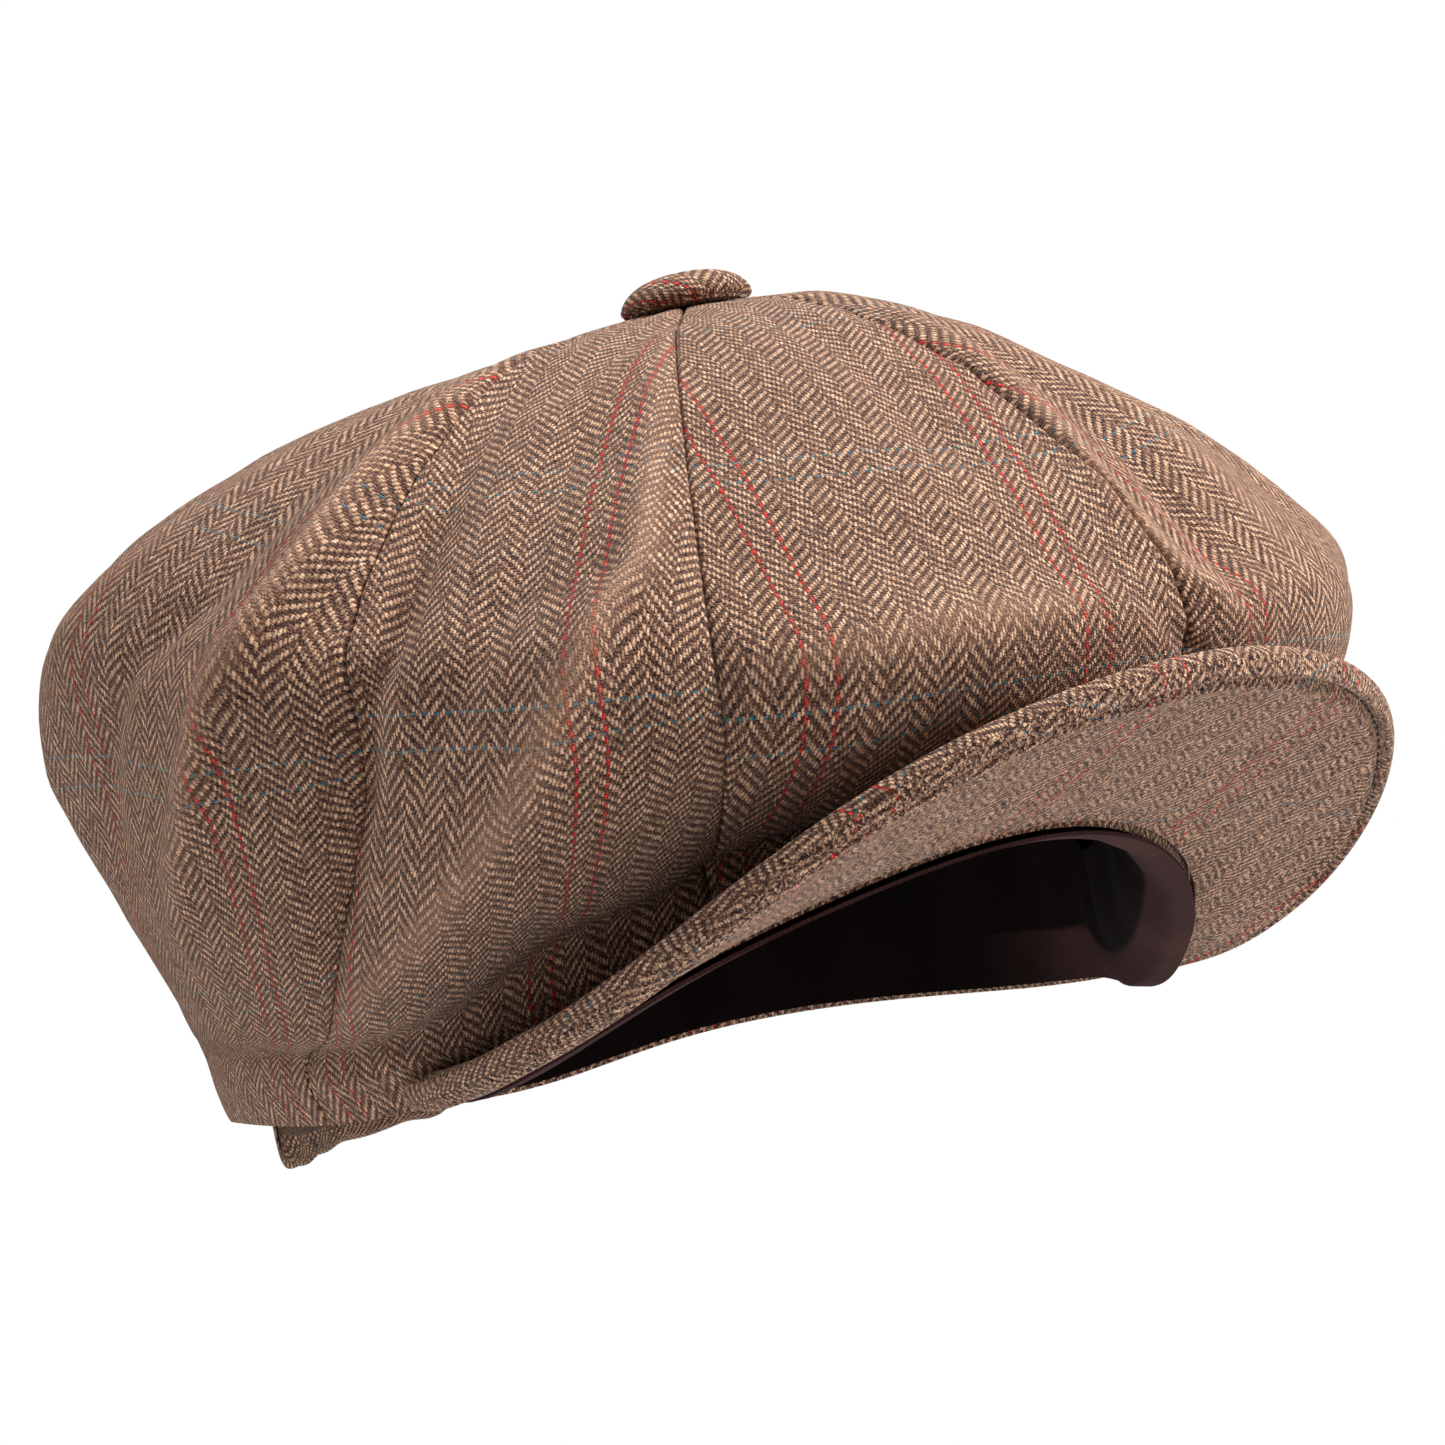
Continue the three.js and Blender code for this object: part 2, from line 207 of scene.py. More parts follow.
def crown_point(psi, t):
    """The crown's outside before any puff or fold: t runs from 0 at the band to 1 at the button."""
    psi, t = np.broadcast_arrays(np.asarray(psi, float), np.asarray(t, float))
    points = crown_controls(psi)
    last = points.shape[-2] - 1
    place = np.clip(t, 0, 1) * last
    index = np.minimum(place.astype(int), last - 1)
    w = (place - index)[..., None]

    def control(k):
        return np.take_along_axis(points, np.clip(k, 0, last)[..., None, None], -2)[..., 0, :]

    p1, p2 = control(index), control(index + 1)
    p0 = np.where((index > 0)[..., None], control(index - 1), 2 * p1 - p2)
    p3 = np.where((index < last - 1)[..., None], control(index + 2), 2 * p2 - p1)
    d0, d1, d2 = [
        np.maximum(np.linalg.norm(b - a, axis=-1, keepdims=True), 1e-6) ** 0.5
        for a, b in ((p0, p1), (p1, p2), (p2, p3))]
    m1 = ((p1 - p0) / d0 - (p2 - p0) / (d0 + d1) + (p2 - p1) / d1) * d1
    m2 = ((p2 - p1) / d1 - (p3 - p1) / (d1 + d2) + (p3 - p2) / d2) * d1
    return p1 + w * m1 + w ** 2 * (3 * (p2 - p1) - 2 * m1 - m2) + w ** 3 * (2 * (p1 - p2) + m1 + m2)


def crown_normal(psi, t):
    step = 1e-3
    along = crown_point(psi, np.minimum(t + step, 1)) - crown_point(psi, np.maximum(t - step, 0))
    across = crown_point(psi + step, t) - crown_point(psi - step, t)
    return unit(np.cross(across, along))


def seam_angle(k, t):
    at_band, at_full = SEAMS[k]
    return np.radians(mix(at_band, at_full, smooth(t / T_FULL)))


# Soft folds of the crown: a line of (degrees, t) points, its height in millimetres and its half width.
FOLDS = [
    ([(-39, .86), (-41, .72), (-43, .60), (-48, .50), (-55, .40), (-66, .31), (-80, .23), (-90, .13)],
     8.0, 8),
    ([(-50, .76), (-54, .62), (-57, .52), (-64, .42), (-72, .34)], -3.4, 8),
    ([(-66, .82), (-65, .68), (-66, .54), (-70, .43), (-76, .33), (-84, .22)], -6.5, 7),
    ([(-71, .90), (-73, .76), (-75, .62), (-78, .52), (-87, .42), (-99, .32)], 8.5, 7),
    ([(-84, .78), (-90, .62), (-100, .48), (-112, .38)], -5.0, 10),
    ([(-100, .74), (-110, .58), (-122, .44)], 2.6, 15),
    ([(13, .90), (9, .78), (5, .64), (6, .56), (10, .50)], 5.0, 6),
    ([(-14, .88), (-10, .76), (-8, .66)], -2.2, 8),
    ([(20, .84), (16, .70), (14, .60), (12, .53)], -3.6, 6),
    ([(4, .50), (2, .45)], -1.8, 8),
    ([(28, .80), (24, .66), (22, .54)], 2.4, 10),
    ([(-34, .92), (-46, .86), (-54, .78)], -3.4, 7),
    ([(-34, .49), (-20, .51), (-6, .53)], 4.0, 8),
    ([(-30, .42), (-18, .44), (-6, .46)], -2.0, 9),
    ([(46, .78), (50, .66), (54, .54), (60, .42), (68, .30)], 1.6, 10),
    ([(84, .76), (88, .62), (94, .48), (104, .36)], 4.2, 10),
    ([(64, .72), (70, .58), (76, .44)], -3.0, 9),
    ([(112, .78), (116, .62), (118, .46)], -3.6, 11),
    ([(138, .80), (142, .62), (146, .44), (148, .30)], 5.0, 9),
    ([(164, .72), (166, .54), (160, .38)], -3.6, 11),
    ([(-114, .80), (-126, .66), (-136, .52)], -2.4, 11),
    ([(-140, .80), (-146, .62), (-150, .44), (-148, .30)], 4.4, 10),
    ([(-166, .70), (-162, .52), (-160, .36)], -3.4, 11),
]
# Broad slumps of the whole crown: (degrees, t), height and half width.
SLUMPS = [
    ((-56, 0.13), -5.5, 17),
    ((-34, 0.12), -3.5, 14),
    ((52, .50), -2.0, 34),
    ((44, .76), -4.2, 22),
    ((54, .65), -1.8, 16),
    ((52, .40), -3.0, 14),
    ((-124, .43), 5.6, 20),
    ((-124, .22), -2.8, 16),
    ((-92, .88), -4.4, 20),
    ((-60, .92), -2.4, 12),
    ((-7, .92), -2.0, 14),
]
# Wrinkles all over the cloth: height, width and seed.
WRINKLES = [(1.1, 42, 1), (0.7, 17, 2), (0.25, 8, 4)]
# A fold has a narrow crest on a wide foot, in shares of its half width, and a painted highlight along its
# crest only, full on folds of the last height or more.
FOLD_CREST = 0.55
FOLD_FOOT = 1.5
FOLD_HIGHLIGHT = 0.3
HIGHLIGHT_HEIGHT = 5


def line_distance(points, line):
    """Distance of each point to a line of points, and how far along it the nearest place is."""
    best = np.full(points.shape[:-1], 1e9)
    along = np.zeros(points.shape[:-1])
    count = len(line) - 1
    for k, (a, b) in enumerate(zip(line, line[1:])):
        f = np.clip(((points - a) @ (b - a)) / ((b - a) @ (b - a)), 0, 1)
        distance = np.linalg.norm(points - (a + f[..., None] * (b - a)), axis=-1)
        nearer = distance < best
        along = np.where(nearer, (k + f) / count, along)
        best = np.where(nearer, distance, best)
    return best, along


def soft_noise(points, scale, seed):
    """Smooth noise from -1 to 1 at each point, with features about scale millimetres wide."""
    flat = points.reshape(-1, 3) / scale + seed * 7.31
    values = [noise.noise(Vector(p)) for p in flat]
    return np.array(values).reshape(points.shape[:-1])


def fold_height(points):
    """How far the folds, slumps and wrinkles stand off, and how near each point is to a fold's crest."""
    total = np.zeros(points.shape[:-1])
    crest = np.zeros(points.shape[:-1])
    for places, height, width in FOLDS:
        angles, stations = np.radians([p[0] for p in places]), np.array([p[1] for p in places])
        fine = np.linspace(0, 1, 4 * len(places))
        knots = np.linspace(0, 1, len(places))
        line = crown_point(np.interp(fine, knots, angles), np.interp(fine, knots, stations))
        distance, along = line_distance(points, line)
        section = 0.5 * bell(distance, FOLD_CREST * width) + 0.5 * bell(distance, FOLD_FOOT * width)
        fade = np.sin(pi * (0.1 + 0.8 * along))
        total += height * section * fade
        crest = np.maximum(crest, fade * min(height / HIGHLIGHT_HEIGHT, 1) * bell(distance, FOLD_HIGHLIGHT * width))
    for (angle, station), height, width in SLUMPS:
        distance = np.linalg.norm(points - crown_point(radians(angle), station), axis=-1)
        total += height * bell(distance, width)
    for height, width, seed in WRINKLES:
        total += height * soft_noise(points, width, seed)
    return total, crest


# ---------- meshes ----------
def add_object(name, data):
    thing = bpy.data.objects.new(name, data)
    bpy.context.scene.collection.objects.link(thing)
    return thing


def new_piece(name, vertices, faces, uvs, material):
    """A smooth-shaded mesh from points in millimetres, with cloth coordinates in metres."""
    mesh = bpy.data.meshes.new(name)
    mesh.from_pydata((np.asarray(vertices).reshape(-1, 3) * MM).tolist(), [], [list(f) for f in faces])
    if uvs is not None:
        layer = mesh.uv_layers.new(name="cloth")
        loops = np.empty(len(mesh.loops), dtype=int)
        mesh.loops.foreach_get("vertex_index", loops)
        layer.data.foreach_set("uv", (np.asarray(uvs).reshape(-1, 2)[loops] * MM).ravel())
    mesh.validate()
    mesh.shade_smooth()
    mesh.set_sharp_from_angle(angle=radians(60))
    mesh.materials.append(material)
    return add_object(name, mesh)


def grid_faces(rows, columns, start=0, flip=False, wrap=False):
    faces = []
    for j in range(rows - 1):
        for i in range(columns if wrap else columns - 1):
            k = (i + 1) % columns
            quad = (start + j * columns + i, start + j * columns + k,
                    start + (j + 1) * columns + k, start + (j + 1) * columns + i)
            faces.append(quad[::-1] if flip else quad)
    return faces


def skin(name, outer, inner, faces, uvs, material):
    vertices = np.concatenate([outer.reshape(-1, 3), inner.reshape(-1, 3)])
    return new_piece(name, vertices, faces, np.concatenate([uvs.reshape(-1, 2)] * 2), material)


def closed_sheet(name, outer, inner, uvs, material):
    """A closed piece of cloth between two grids of points of the same size."""
    rows, columns = outer.shape[:2]
    count = rows * columns
    faces = grid_faces(rows, columns) + grid_faces(rows, columns, count, flip=True)
    border = (list(range(columns)) + [j * columns + columns - 1 for j in range(1, rows)]
              + [(rows - 1) * columns + i for i in range(columns - 2, -1, -1)]
              + [j * columns for j in range(rows - 2, 0, -1)])
    for a, b in zip(border, border[1:] + border[:1]):
        faces.append((b, a, a + count, b + count))
    return skin(name, outer, inner, faces, uvs, material)


def closed_tube(name, outer, inner, uvs, material, pole=False):
    """A closed piece of cloth between two tubes of points. With a pole, the first row is one point."""
    rows, around = outer.shape[:2]
    count = rows * around
    far = count - around
    faces = grid_faces(rows, around, flip=True, wrap=True) + grid_faces(rows, around, count, wrap=True)
    for i in range(around):
        k = (i + 1) % around
        faces.append((far + k, far + i, count + far + i, count + far + k))
        if not pole:
            faces.append((i, k, count + k, count + i))
    return skin(name, outer, inner, faces, uvs, material)


def grid_normals(points):
    across = np.gradient(points, axis=1)
    along = np.gradient(points, axis=0)
    normal = np.cross(across, along)
    return normal / np.maximum(np.linalg.norm(normal, axis=-1, keepdims=True), 1e-9)


def path_length(points):
    """Distance along a row of points, from the first one to each."""
    return np.concatenate([[0], np.cumsum(np.linalg.norm(np.diff(points, axis=0), axis=-1))])


def cloth_coordinates(points, middle):
    """Distance across from the middle column and along that column, for each point of a grid."""
    steps = np.linalg.norm(np.diff(points, axis=1), axis=-1)
    across = np.concatenate([np.zeros((len(points), 1)), np.cumsum(steps, axis=1)], axis=1)
    across -= across[:, middle:middle + 1]
    along = path_length(points[:, middle])[:, None] + 0 * across
    return np.stack([across, along], -1)


# ---------- materials ----------
class Nodes:
    """Short calls that add shader nodes to a material and link them."""

    def __init__(self, name, base, roughness):
        self.material = bpy.data.materials.new(name)
        self.material.use_nodes = True
        self.tree = self.material.node_tree
        self.shader = self.tree.nodes["Principled BSDF"]
        self.set("Base Color", base)
        self.set("Roughness", roughness)

    def add(self, kind):
        return self.tree.nodes.new("ShaderNode" + kind)

    def fill(self, node, values):
        """Sets or links a node's inputs, by name or number, and returns its outputs."""
        for key, value in values.items():
            if isinstance(value, bpy.types.NodeSocket):
                self.tree.links.new(value, node.inputs[key])
            else:
                node.inputs[key].default_value = value
        return node.outputs

    def set(self, name, value):
        self.fill(self.shader, {name: value})

    def math(self, operation, *values):
        node = self.add("Math")
        node.operation = operation
        return self.fill(node, dict(enumerate(values)))[0]

    def plus(self, a, b):
        return self.math("ADD", a, b)

    def minus(self, a, b):
        return self.math("SUBTRACT", a, b)

    def times(self, a, b):
        return self.math("MULTIPLY", a, b)

    def over(self, a, b):
        return self.math("DIVIDE", a, b)

    def scaled(self, value, factor, added):
        return self.math("MULTIPLY_ADD", value, factor, added)

    def floor(self, value):
        return self.math("FLOOR", value)

    def modulo(self, value, length):
        return self.math("FLOORED_MODULO", value, length)

    def zigzag(self, value, length):
        return self.math("PINGPONG", value, length)

    def least(self, a, b):
        return self.math("MINIMUM", a, b)

    def greatest(self, a, b):
        return self.math("MAXIMUM", a, b)

    def wave(self, value, length):
        return self.math("SINE", self.times(value, 2 * pi / length))

    def mix(self, factor, a, b, blend="MIX"):
        node = self.add("Mix")
        node.data_type = "RGBA"
        node.blend_type = blend
        return self.fill(node, {0: factor, 6: a, 7: b})[2]

    def shaded(self, colour, tone):
        return self.mix(1, colour, self.vector(tone, tone, tone), "MULTIPLY")

    def cloth(self):
        node = self.add("UVMap")
        node.uv_map = "cloth"
        return self.parts(node.outputs[0])[:2]

    def parts(self, vector):
        return list(self.fill(self.add("SeparateXYZ"), {0: vector}))

    def vector(self, x, y, z=0.0):
        return self.fill(self.add("CombineXYZ"), {0: x, 1: y, 2: z})[0]

    def attribute(self, name):
        node = self.add("Attribute")
        node.attribute_name = name
        return node.outputs["Fac"]

    def object_place(self):
        return self.add("TexCoord").outputs["Object"]

    def noise(self, vector, scale, detail=2.0, roughness=0.5):
        values = {"Vector": vector, "Scale": scale, "Detail": detail, "Roughness": roughness}
        return self.fill(self.add("TexNoise"), values)["Fac"]

    def random(self, x, y):
        node = self.add("TexWhiteNoise")
        node.noise_dimensions = "2D"
        return self.fill(node, {"Vector": self.vector(x, y)})["Value"]

    def bump(self, height, strength, distance, after=None):
        values = {"Height": height, "Strength": strength, "Distance": distance}
        if after is not None:
            values["Normal"] = after
        return self.fill(self.add("Bump"), values)[0]


def srgb(r, g, b):
    """An opaque colour from its 0 to 255 display values."""
    values = [v / 255 for v in (r, g, b)]
    return (*[v / 12.92 if v <= 0.04045 else ((v + 0.055) / 1.055) ** 2.4 for v in values], 1)


TAN_DEEP = srgb(112, 74, 56)
TAN_LIGHT = srgb(252, 205, 170)
BROWN_DEEP = srgb(32, 19, 22)
BROWN_LIGHT = srgb(138, 94, 80)
FIBRE_AND_HIGHLIGHT = srgb(206, 162, 136)
RED = srgb(236, 34, 34)
BLUE = srgb(64, 118, 158)
GREEN = srgb(66, 132, 124)


def tweed_material(name, wander=1.25, hair=0.42, grain=2600):
    """Herringbone wool: tan warp over and under two picks of dark weft, with a red and blue check.

    wander is how far each yarn strays, in yarn widths, hair is how much loose fibre covers the weave,
    and grain is how many specks of that fibre there are in a metre.
    """
    n = Nodes(name, srgb(140, 110, 90), 0.95)
    x, y = n.cloth()
    place = n.object_place()
    # Yarns wander a little: all of them slowly along the cloth, and each one a touch of its own.
    sway = n.times(n.minus(n.noise(place, 70, 2), 0.5), 1.2)
    jitter = n.times(n.minus(n.noise(place, 900, 2), 0.5), wander)
    sway = n.plus(sway, jitter)
    wx = n.plus(n.over(x, WARP * MM), sway)
    wy = n.plus(n.over(y, PICK * MM), sway)
    i, j = n.floor(wx), n.floor(wy)
    column = n.modulo(n.floor(n.over(i, COLUMN)), 2)
    shift = n.scaled(column, OVER, n.minus(n.zigzag(n.plus(i, 0.5), COLUMN), 0.5))
    warp_run = n.modulo(n.plus(wy, shift), REPEAT)
    warp_float = n.floor(n.over(n.plus(wy, shift), REPEAT))
    warp_up = n.math("LESS_THAN", n.modulo(n.plus(j, shift), REPEAT), OVER)
    sliding = n.scaled(column, OVER, n.zigzag(wx, COLUMN))
    weft_run = n.modulo(n.plus(j, sliding), REPEAT)
    weft_float = n.floor(n.over(wx, OVER))

    def rounded(place_across):
        centred = n.scaled(n.math("FRACT", place_across), 2.0, -1.0)
        return n.minus(1.0, n.times(centred, centred))

    def arched(run, start):
        return n.math("ABSOLUTE", n.wave(n.minus(run, start), REPEAT))

    def pair(number, apart):
        """Picks out the first yarn of each check and the one that lies so many yarns further on."""
        return n.plus(n.math("COMPARE", number, 0, 0.1), n.math("COMPARE", number, apart, 0.1))

    def fibres(along_x, along_y):
        """Streaks of single fibres along a yarn, from 0 to 1 with a strong contrast."""
        streak = n.noise(n.vector(n.times(x, along_x), n.times(y, along_y)), 1.0, 3)
        return n.scaled(n.minus(streak, 0.5), 3.4, 0.5)

    warp_height = n.times(rounded(wx), n.scaled(arched(warp_run, 0.0), 0.6, 0.4))
    weft_height = n.times(rounded(wy), n.scaled(arched(weft_run, 1.5), 0.5, 0.3))
    lift = n.minus(warp_height, weft_height)
    height = n.scaled(lift, warp_up, weft_height)
    # Two plies are twisted round each other in every yarn, which breaks each float into beads.
    warp_twist = n.wave(n.scaled(wx, 0.5, n.times(wy, 1.15)), 1)
    weft_twist = n.wave(n.scaled(wy, 0.5, n.times(wx, 1.2)), 1)
    twist = n.scaled(n.minus(warp_twist, weft_twist), warp_up, weft_twist)

    # Each float has its own shade, with fibres of other shades spun into it.
    warp_shade = n.scaled(n.random(i, warp_float), 0.8, n.times(fibres(2600.0, 900.0), 0.4))
    weft_shade = n.scaled(n.random(weft_float, j), 0.6, n.times(fibres(900.0, 2600.0), 0.45))
    tan = n.mix(warp_shade, TAN_DEEP, TAN_LIGHT)
    dark = n.mix(weft_shade, BROWN_DEEP, BROWN_LIGHT)
    red_line = pair(n.modulo(i, CHECK_WARPS), PAIR_WARPS)
    blue_line = pair(n.modulo(j, CHECK_PICKS), PAIR_PICKS)
    patchy = n.scaled(n.noise(place, 240, 1), 0.9, 0.6)
    tan = n.mix(n.least(n.times(red_line, patchy), 1.0), tan, RED)
    teal = n.mix(n.noise(place, 300, 0), BLUE, GREEN)
    faded = n.least(n.times(patchy, 0.95), 1.0)
    dark = n.mix(n.times(blue_line, faded), dark, teal)
    dark = n.mix(n.times(red_line, 0.16), dark, RED)
    cloth = n.mix(warp_up, dark, tan)
    # Painted shade: the colour is darkened where the weave lies low, in the gaps between yarns and on their
    # rounded flanks, and in stripes along the twist of their plies.
    depth = n.scaled(twist, 0.16, n.scaled(height, 1.1, 0.25))
    wear = n.scaled(n.noise(place, 22, 3), 0.24, 0.88)
    cloth = n.shaded(cloth, n.times(depth, wear))
    # Loose fibres veil the weave in specks, lighter than the yarns they lie over.
    speck = n.noise(place, grain, 3, 0.75)
    fibre_veil_and_highlight = n.times(n.math("GREATER_THAN", speck, 0.57), hair)
    # Along the crests of the folds the colour is painted lighter, towards the fibre colour: a painted
    # highlight, speckled like the loose fibres.
    painted_light = n.times(n.attribute("painted_light"), n.scaled(speck, 1.2, -0.05))
    fibre_veil_and_highlight = n.greatest(fibre_veil_and_highlight, painted_light)
    cloth = n.mix(fibre_veil_and_highlight, cloth, FIBRE_AND_HIGHLIGHT)
    # The finest hairs are painted as glints: a fine speckle lightens the colour in some spots and darkens
    # it in others.
    cloth = n.shaded(cloth, n.scaled(n.minus(n.noise(place, 5200, 1), 0.5), 2.2, 1.0))
    shadow = n.times(n.math("LESS_THAN", speck, 0.42), hair)
    n.set("Base Color", n.mix(shadow, cloth, BROWN_DEEP))
    fine = n.bump(n.scaled(twist, 0.2, height), 0.8, 0.3 * MM)
    n.set("Normal", n.bump(speck, 0.5, 0.2 * MM, fine))
    n.set("Sheen Weight", 0.2)
    n.set("Sheen Roughness", 0.5)
    n.set("Sheen Tint", (0.9, 0.82, 0.76, 1))
    n.set("Specular IOR Level", 0.15)
    return n.material


def satin_material():
    """Dark brown satin: a fine diagonal weave with a soft shine."""
    n = Nodes("lining_satin", srgb(20, 12, 13), 0.5)
    x, y = n.cloth()
    place = n.object_place()
    diagonal = n.wave(n.plus(x, y), 0.6 * MM)
    tone = n.noise(place, 40, 3)
    n.set("Base Color", n.mix(tone, srgb(8, 4, 4), srgb(19, 11, 12)))
    n.set("Roughness", n.scaled(tone, 0.2, 0.36))
    n.set("Normal", n.bump(diagonal, 0.15, 0.1 * MM, n.bump(n.noise(place, 90, 2), 0.4, 0.6 * MM)))
    n.set("Specular IOR Level", 0.08)
    return n.material


# Where the ribbon's colour is painted lighter, as a painted highlight on its lower roll: ahead of a place
# along Y, and up to a width above its lower edge.
LIT_ROLL_FROM_Y = 10
LIT_ROLL_FADE_Y = 30
LIT_ROLL_WIDTH = 10.5
LIT_ROLL_FADE = 1.2


def ribbon_material():
    """Ribbed ribbon: ribs across its width, and a painted highlight on the lower roll at the front."""
    n = Nodes("sweatband_ribbon", srgb(40, 27, 28), 0.9)
    x, y = n.cloth()
    place = n.object_place()
    rib = n.wave(x, 1.1 * MM)
    thread = n.wave(y, 0.4 * MM)
    height = n.scaled(thread, 0.25, rib)
    tone = n.scaled(rib, 0.12, n.noise(place, 60, 4))
    # The lower part at the front, which folds out against the forehead, is painted lighter: a painted
    # highlight where its roll faces the light.
    front = n.over(n.minus(n.parts(place)[1], LIT_ROLL_FROM_Y * MM), -LIT_ROLL_FADE_Y * MM)
    low = n.over(n.minus(LIT_ROLL_WIDTH * MM, y), LIT_ROLL_FADE * MM)
    painted_light = n.greatest(n.least(n.least(low, front), 1.0), 0.0)
    ribbon_colour = n.mix(tone, srgb(12, 6, 6), srgb(24, 13, 14))
    lit_roll_colour = n.mix(tone, srgb(38, 24, 24), srgb(82, 55, 54))
    n.set("Base Color", n.mix(painted_light, ribbon_colour, lit_roll_colour))
    n.set("Normal", n.bump(height, 0.35, 0.15 * MM, n.bump(n.noise(place, 120, 2), 0.3, 0.5 * MM)))
    n.set("Specular IOR Level", 0.08)
    return n.material


def thread_material(name, colour):
    """Twisted sewing thread."""
    n = Nodes(name, colour, 0.7)
    tone = n.noise(n.object_place(), 900, 2)
    n.set("Base Color", n.mix(tone, (*[c * 0.6 for c in colour[:3]], 1), colour))
    n.set("Normal", n.bump(tone, 0.4, 0.1 * MM))
    return n.material


def board_material():
    """Pressed fibre board."""
    n = Nodes("peak_board", srgb(205, 200, 188), 0.7)
    fibre = n.noise(n.object_place(), 400, 4, 0.7)
    n.set("Base Color", n.mix(fibre, srgb(176, 168, 150), srgb(222, 216, 204)))
    n.set("Normal", n.bump(fibre, 0.3, 0.2 * MM))
    return n.material


def elastic_material():
    """Woven elastic: rubber cords under a ribbed white cover."""
    n = Nodes("elastic", srgb(230, 226, 218), 0.8)
    place = n.object_place()
    cords = n.wave(n.parts(place)[2], 1.2 * MM)
    tone = n.scaled(cords, 0.3, n.noise(place, 600, 2))
    n.set("Base Color", n.mix(tone, srgb(205, 200, 190), srgb(238, 235, 228)))
    n.set("Normal", n.bump(cords, 0.5, 0.3 * MM))
    return n.material


def steel_material():
    """Stamped tinplate with fine drawing marks."""
    n = Nodes("button_steel", srgb(185, 188, 192), 0.35)
    n.set("Metallic", 1.0)
    marks = n.noise(n.object_place(), 700, 3)
    n.set("Base Color", n.mix(marks, srgb(165, 168, 172), srgb(200, 203, 206)))
    n.set("Roughness", n.scaled(marks, 0.2, 0.25))
    n.set("Normal", n.bump(marks, 0.1, 0.05 * MM))
    return n.material


TWEED_CLOTH = tweed_material("tweed")
FLAT_TWEED = tweed_material("tweed_pressed", wander=3.6, hair=0.9, grain=1700)
SATIN = satin_material()
RIBBON = ribbon_material()
THREAD = thread_material("topstitch_thread", srgb(34, 24, 22))


def belongs(piece, node):
    """The piece moves with the cap, and the CAD node it stands for, if any, is hidden."""
    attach(piece, "root")
    if node:
        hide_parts(node)


# ---------- crown gores ----------
GORE_COLUMNS = 84
GORE_ROWS = 130
FOOT_ROWS = 10
LINING_COLUMNS = 30
LINING_ROWS = 60
LINING_FROM = 0.06
EASE_REACH = 15
EASE_ROUNDS = 140
EDGE_ROLL = 0.9
EDGE_DROP = 1.1
# Along its seams a gore sinks into a hollow and puckers a little.
SEAM_HOLLOW = 0.7
HOLLOW_REACH = 5
PUCKER = 0.56
PUCKER_REACH = 6
PUCKER_LENGTH = 7
# Over the band the cloth is rolled in at its lower edge, and above it the puff fades in.
FOOT_TURN = 1.35
TURN_SHARE = 0.45
FOOT_INNER = 1.4
PUFF_FROM = 0.08
FOOT_FILL = 3.4
FOOT_FILL_REST = 0.4
FOOT_FILL_MIDDLE = radians(72)
FOOT_FILL_REACH = radians(26)
FOOT_FILL_ABOVE = 13.0
FOOT_FILL_BELOW = 6.0
# Where the check falls on each gore, from the back right round to the back left: across and along.
CHECK_PLACE = [(10, 4), (22, 18), (39, 30), (30, 12), (25, 12), (8, 34), (20, 16), (12, 6)]


def gore_spacing(count):
    even = np.linspace(0, 1, count + 1)
    return mix(even, 0.5 - 0.5 * np.cos(pi * even), 0.85)


def gore_grid(k, columns, rows):
    u = gore_spacing(columns)[None, :]
    v = np.linspace(0, 1, rows + 1)[:, None]
    psi = mix(seam_angle(k, v), seam_angle(k + 1, v), u)
    v, u = v + 0 * psi, u + 0 * psi
    return u, v, psi, crown_point(psi, v), crown_normal(psi, v)


def eased_foot(grid):
    """Rounds off the crease between the foot rows and the crown, along the columns of a grid."""
    from_crease = np.arange(len(grid))[:, None, None] - FOOT_ROWS
    share = 0.5 * bell(from_crease, np.where(from_crease < 0, EASE_REACH / 3, EASE_REACH))
    for _ in range(EASE_ROUNDS):
        level = (grid[:-2] + grid[2:]) / 2
        grid = np.concatenate([grid[:1], mix(grid[1:-1], level, share[1:-1]), grid[-1:]])
    return grid


def foot_fill(psi, from_crease, from_seam):
    """How the cloth stands off the band's upper edge, so that it leaves the opening without a step."""
    over_peak = smooth((PEAK_SPAN + 0.15 - np.abs(psi)) / 0.2)
    below = mix(FOOT_FILL_BELOW, FOOT_FILL_BELOW / 2, over_peak)
    most = mix(FOOT_FILL_REST, FOOT_FILL, bell(np.abs(psi) - FOOT_FILL_MIDDLE, FOOT_FILL_REACH))
    fill = most * bell(from_crease, np.where(from_crease < 0, below, FOOT_FILL_ABOVE))
    outwards = band_point(psi, -1, 0) - band_point(psi, 0, 0)
    return outwards * (fill * mix(0.8, 1, smooth(from_seam / PUCKER_REACH)))[..., None]


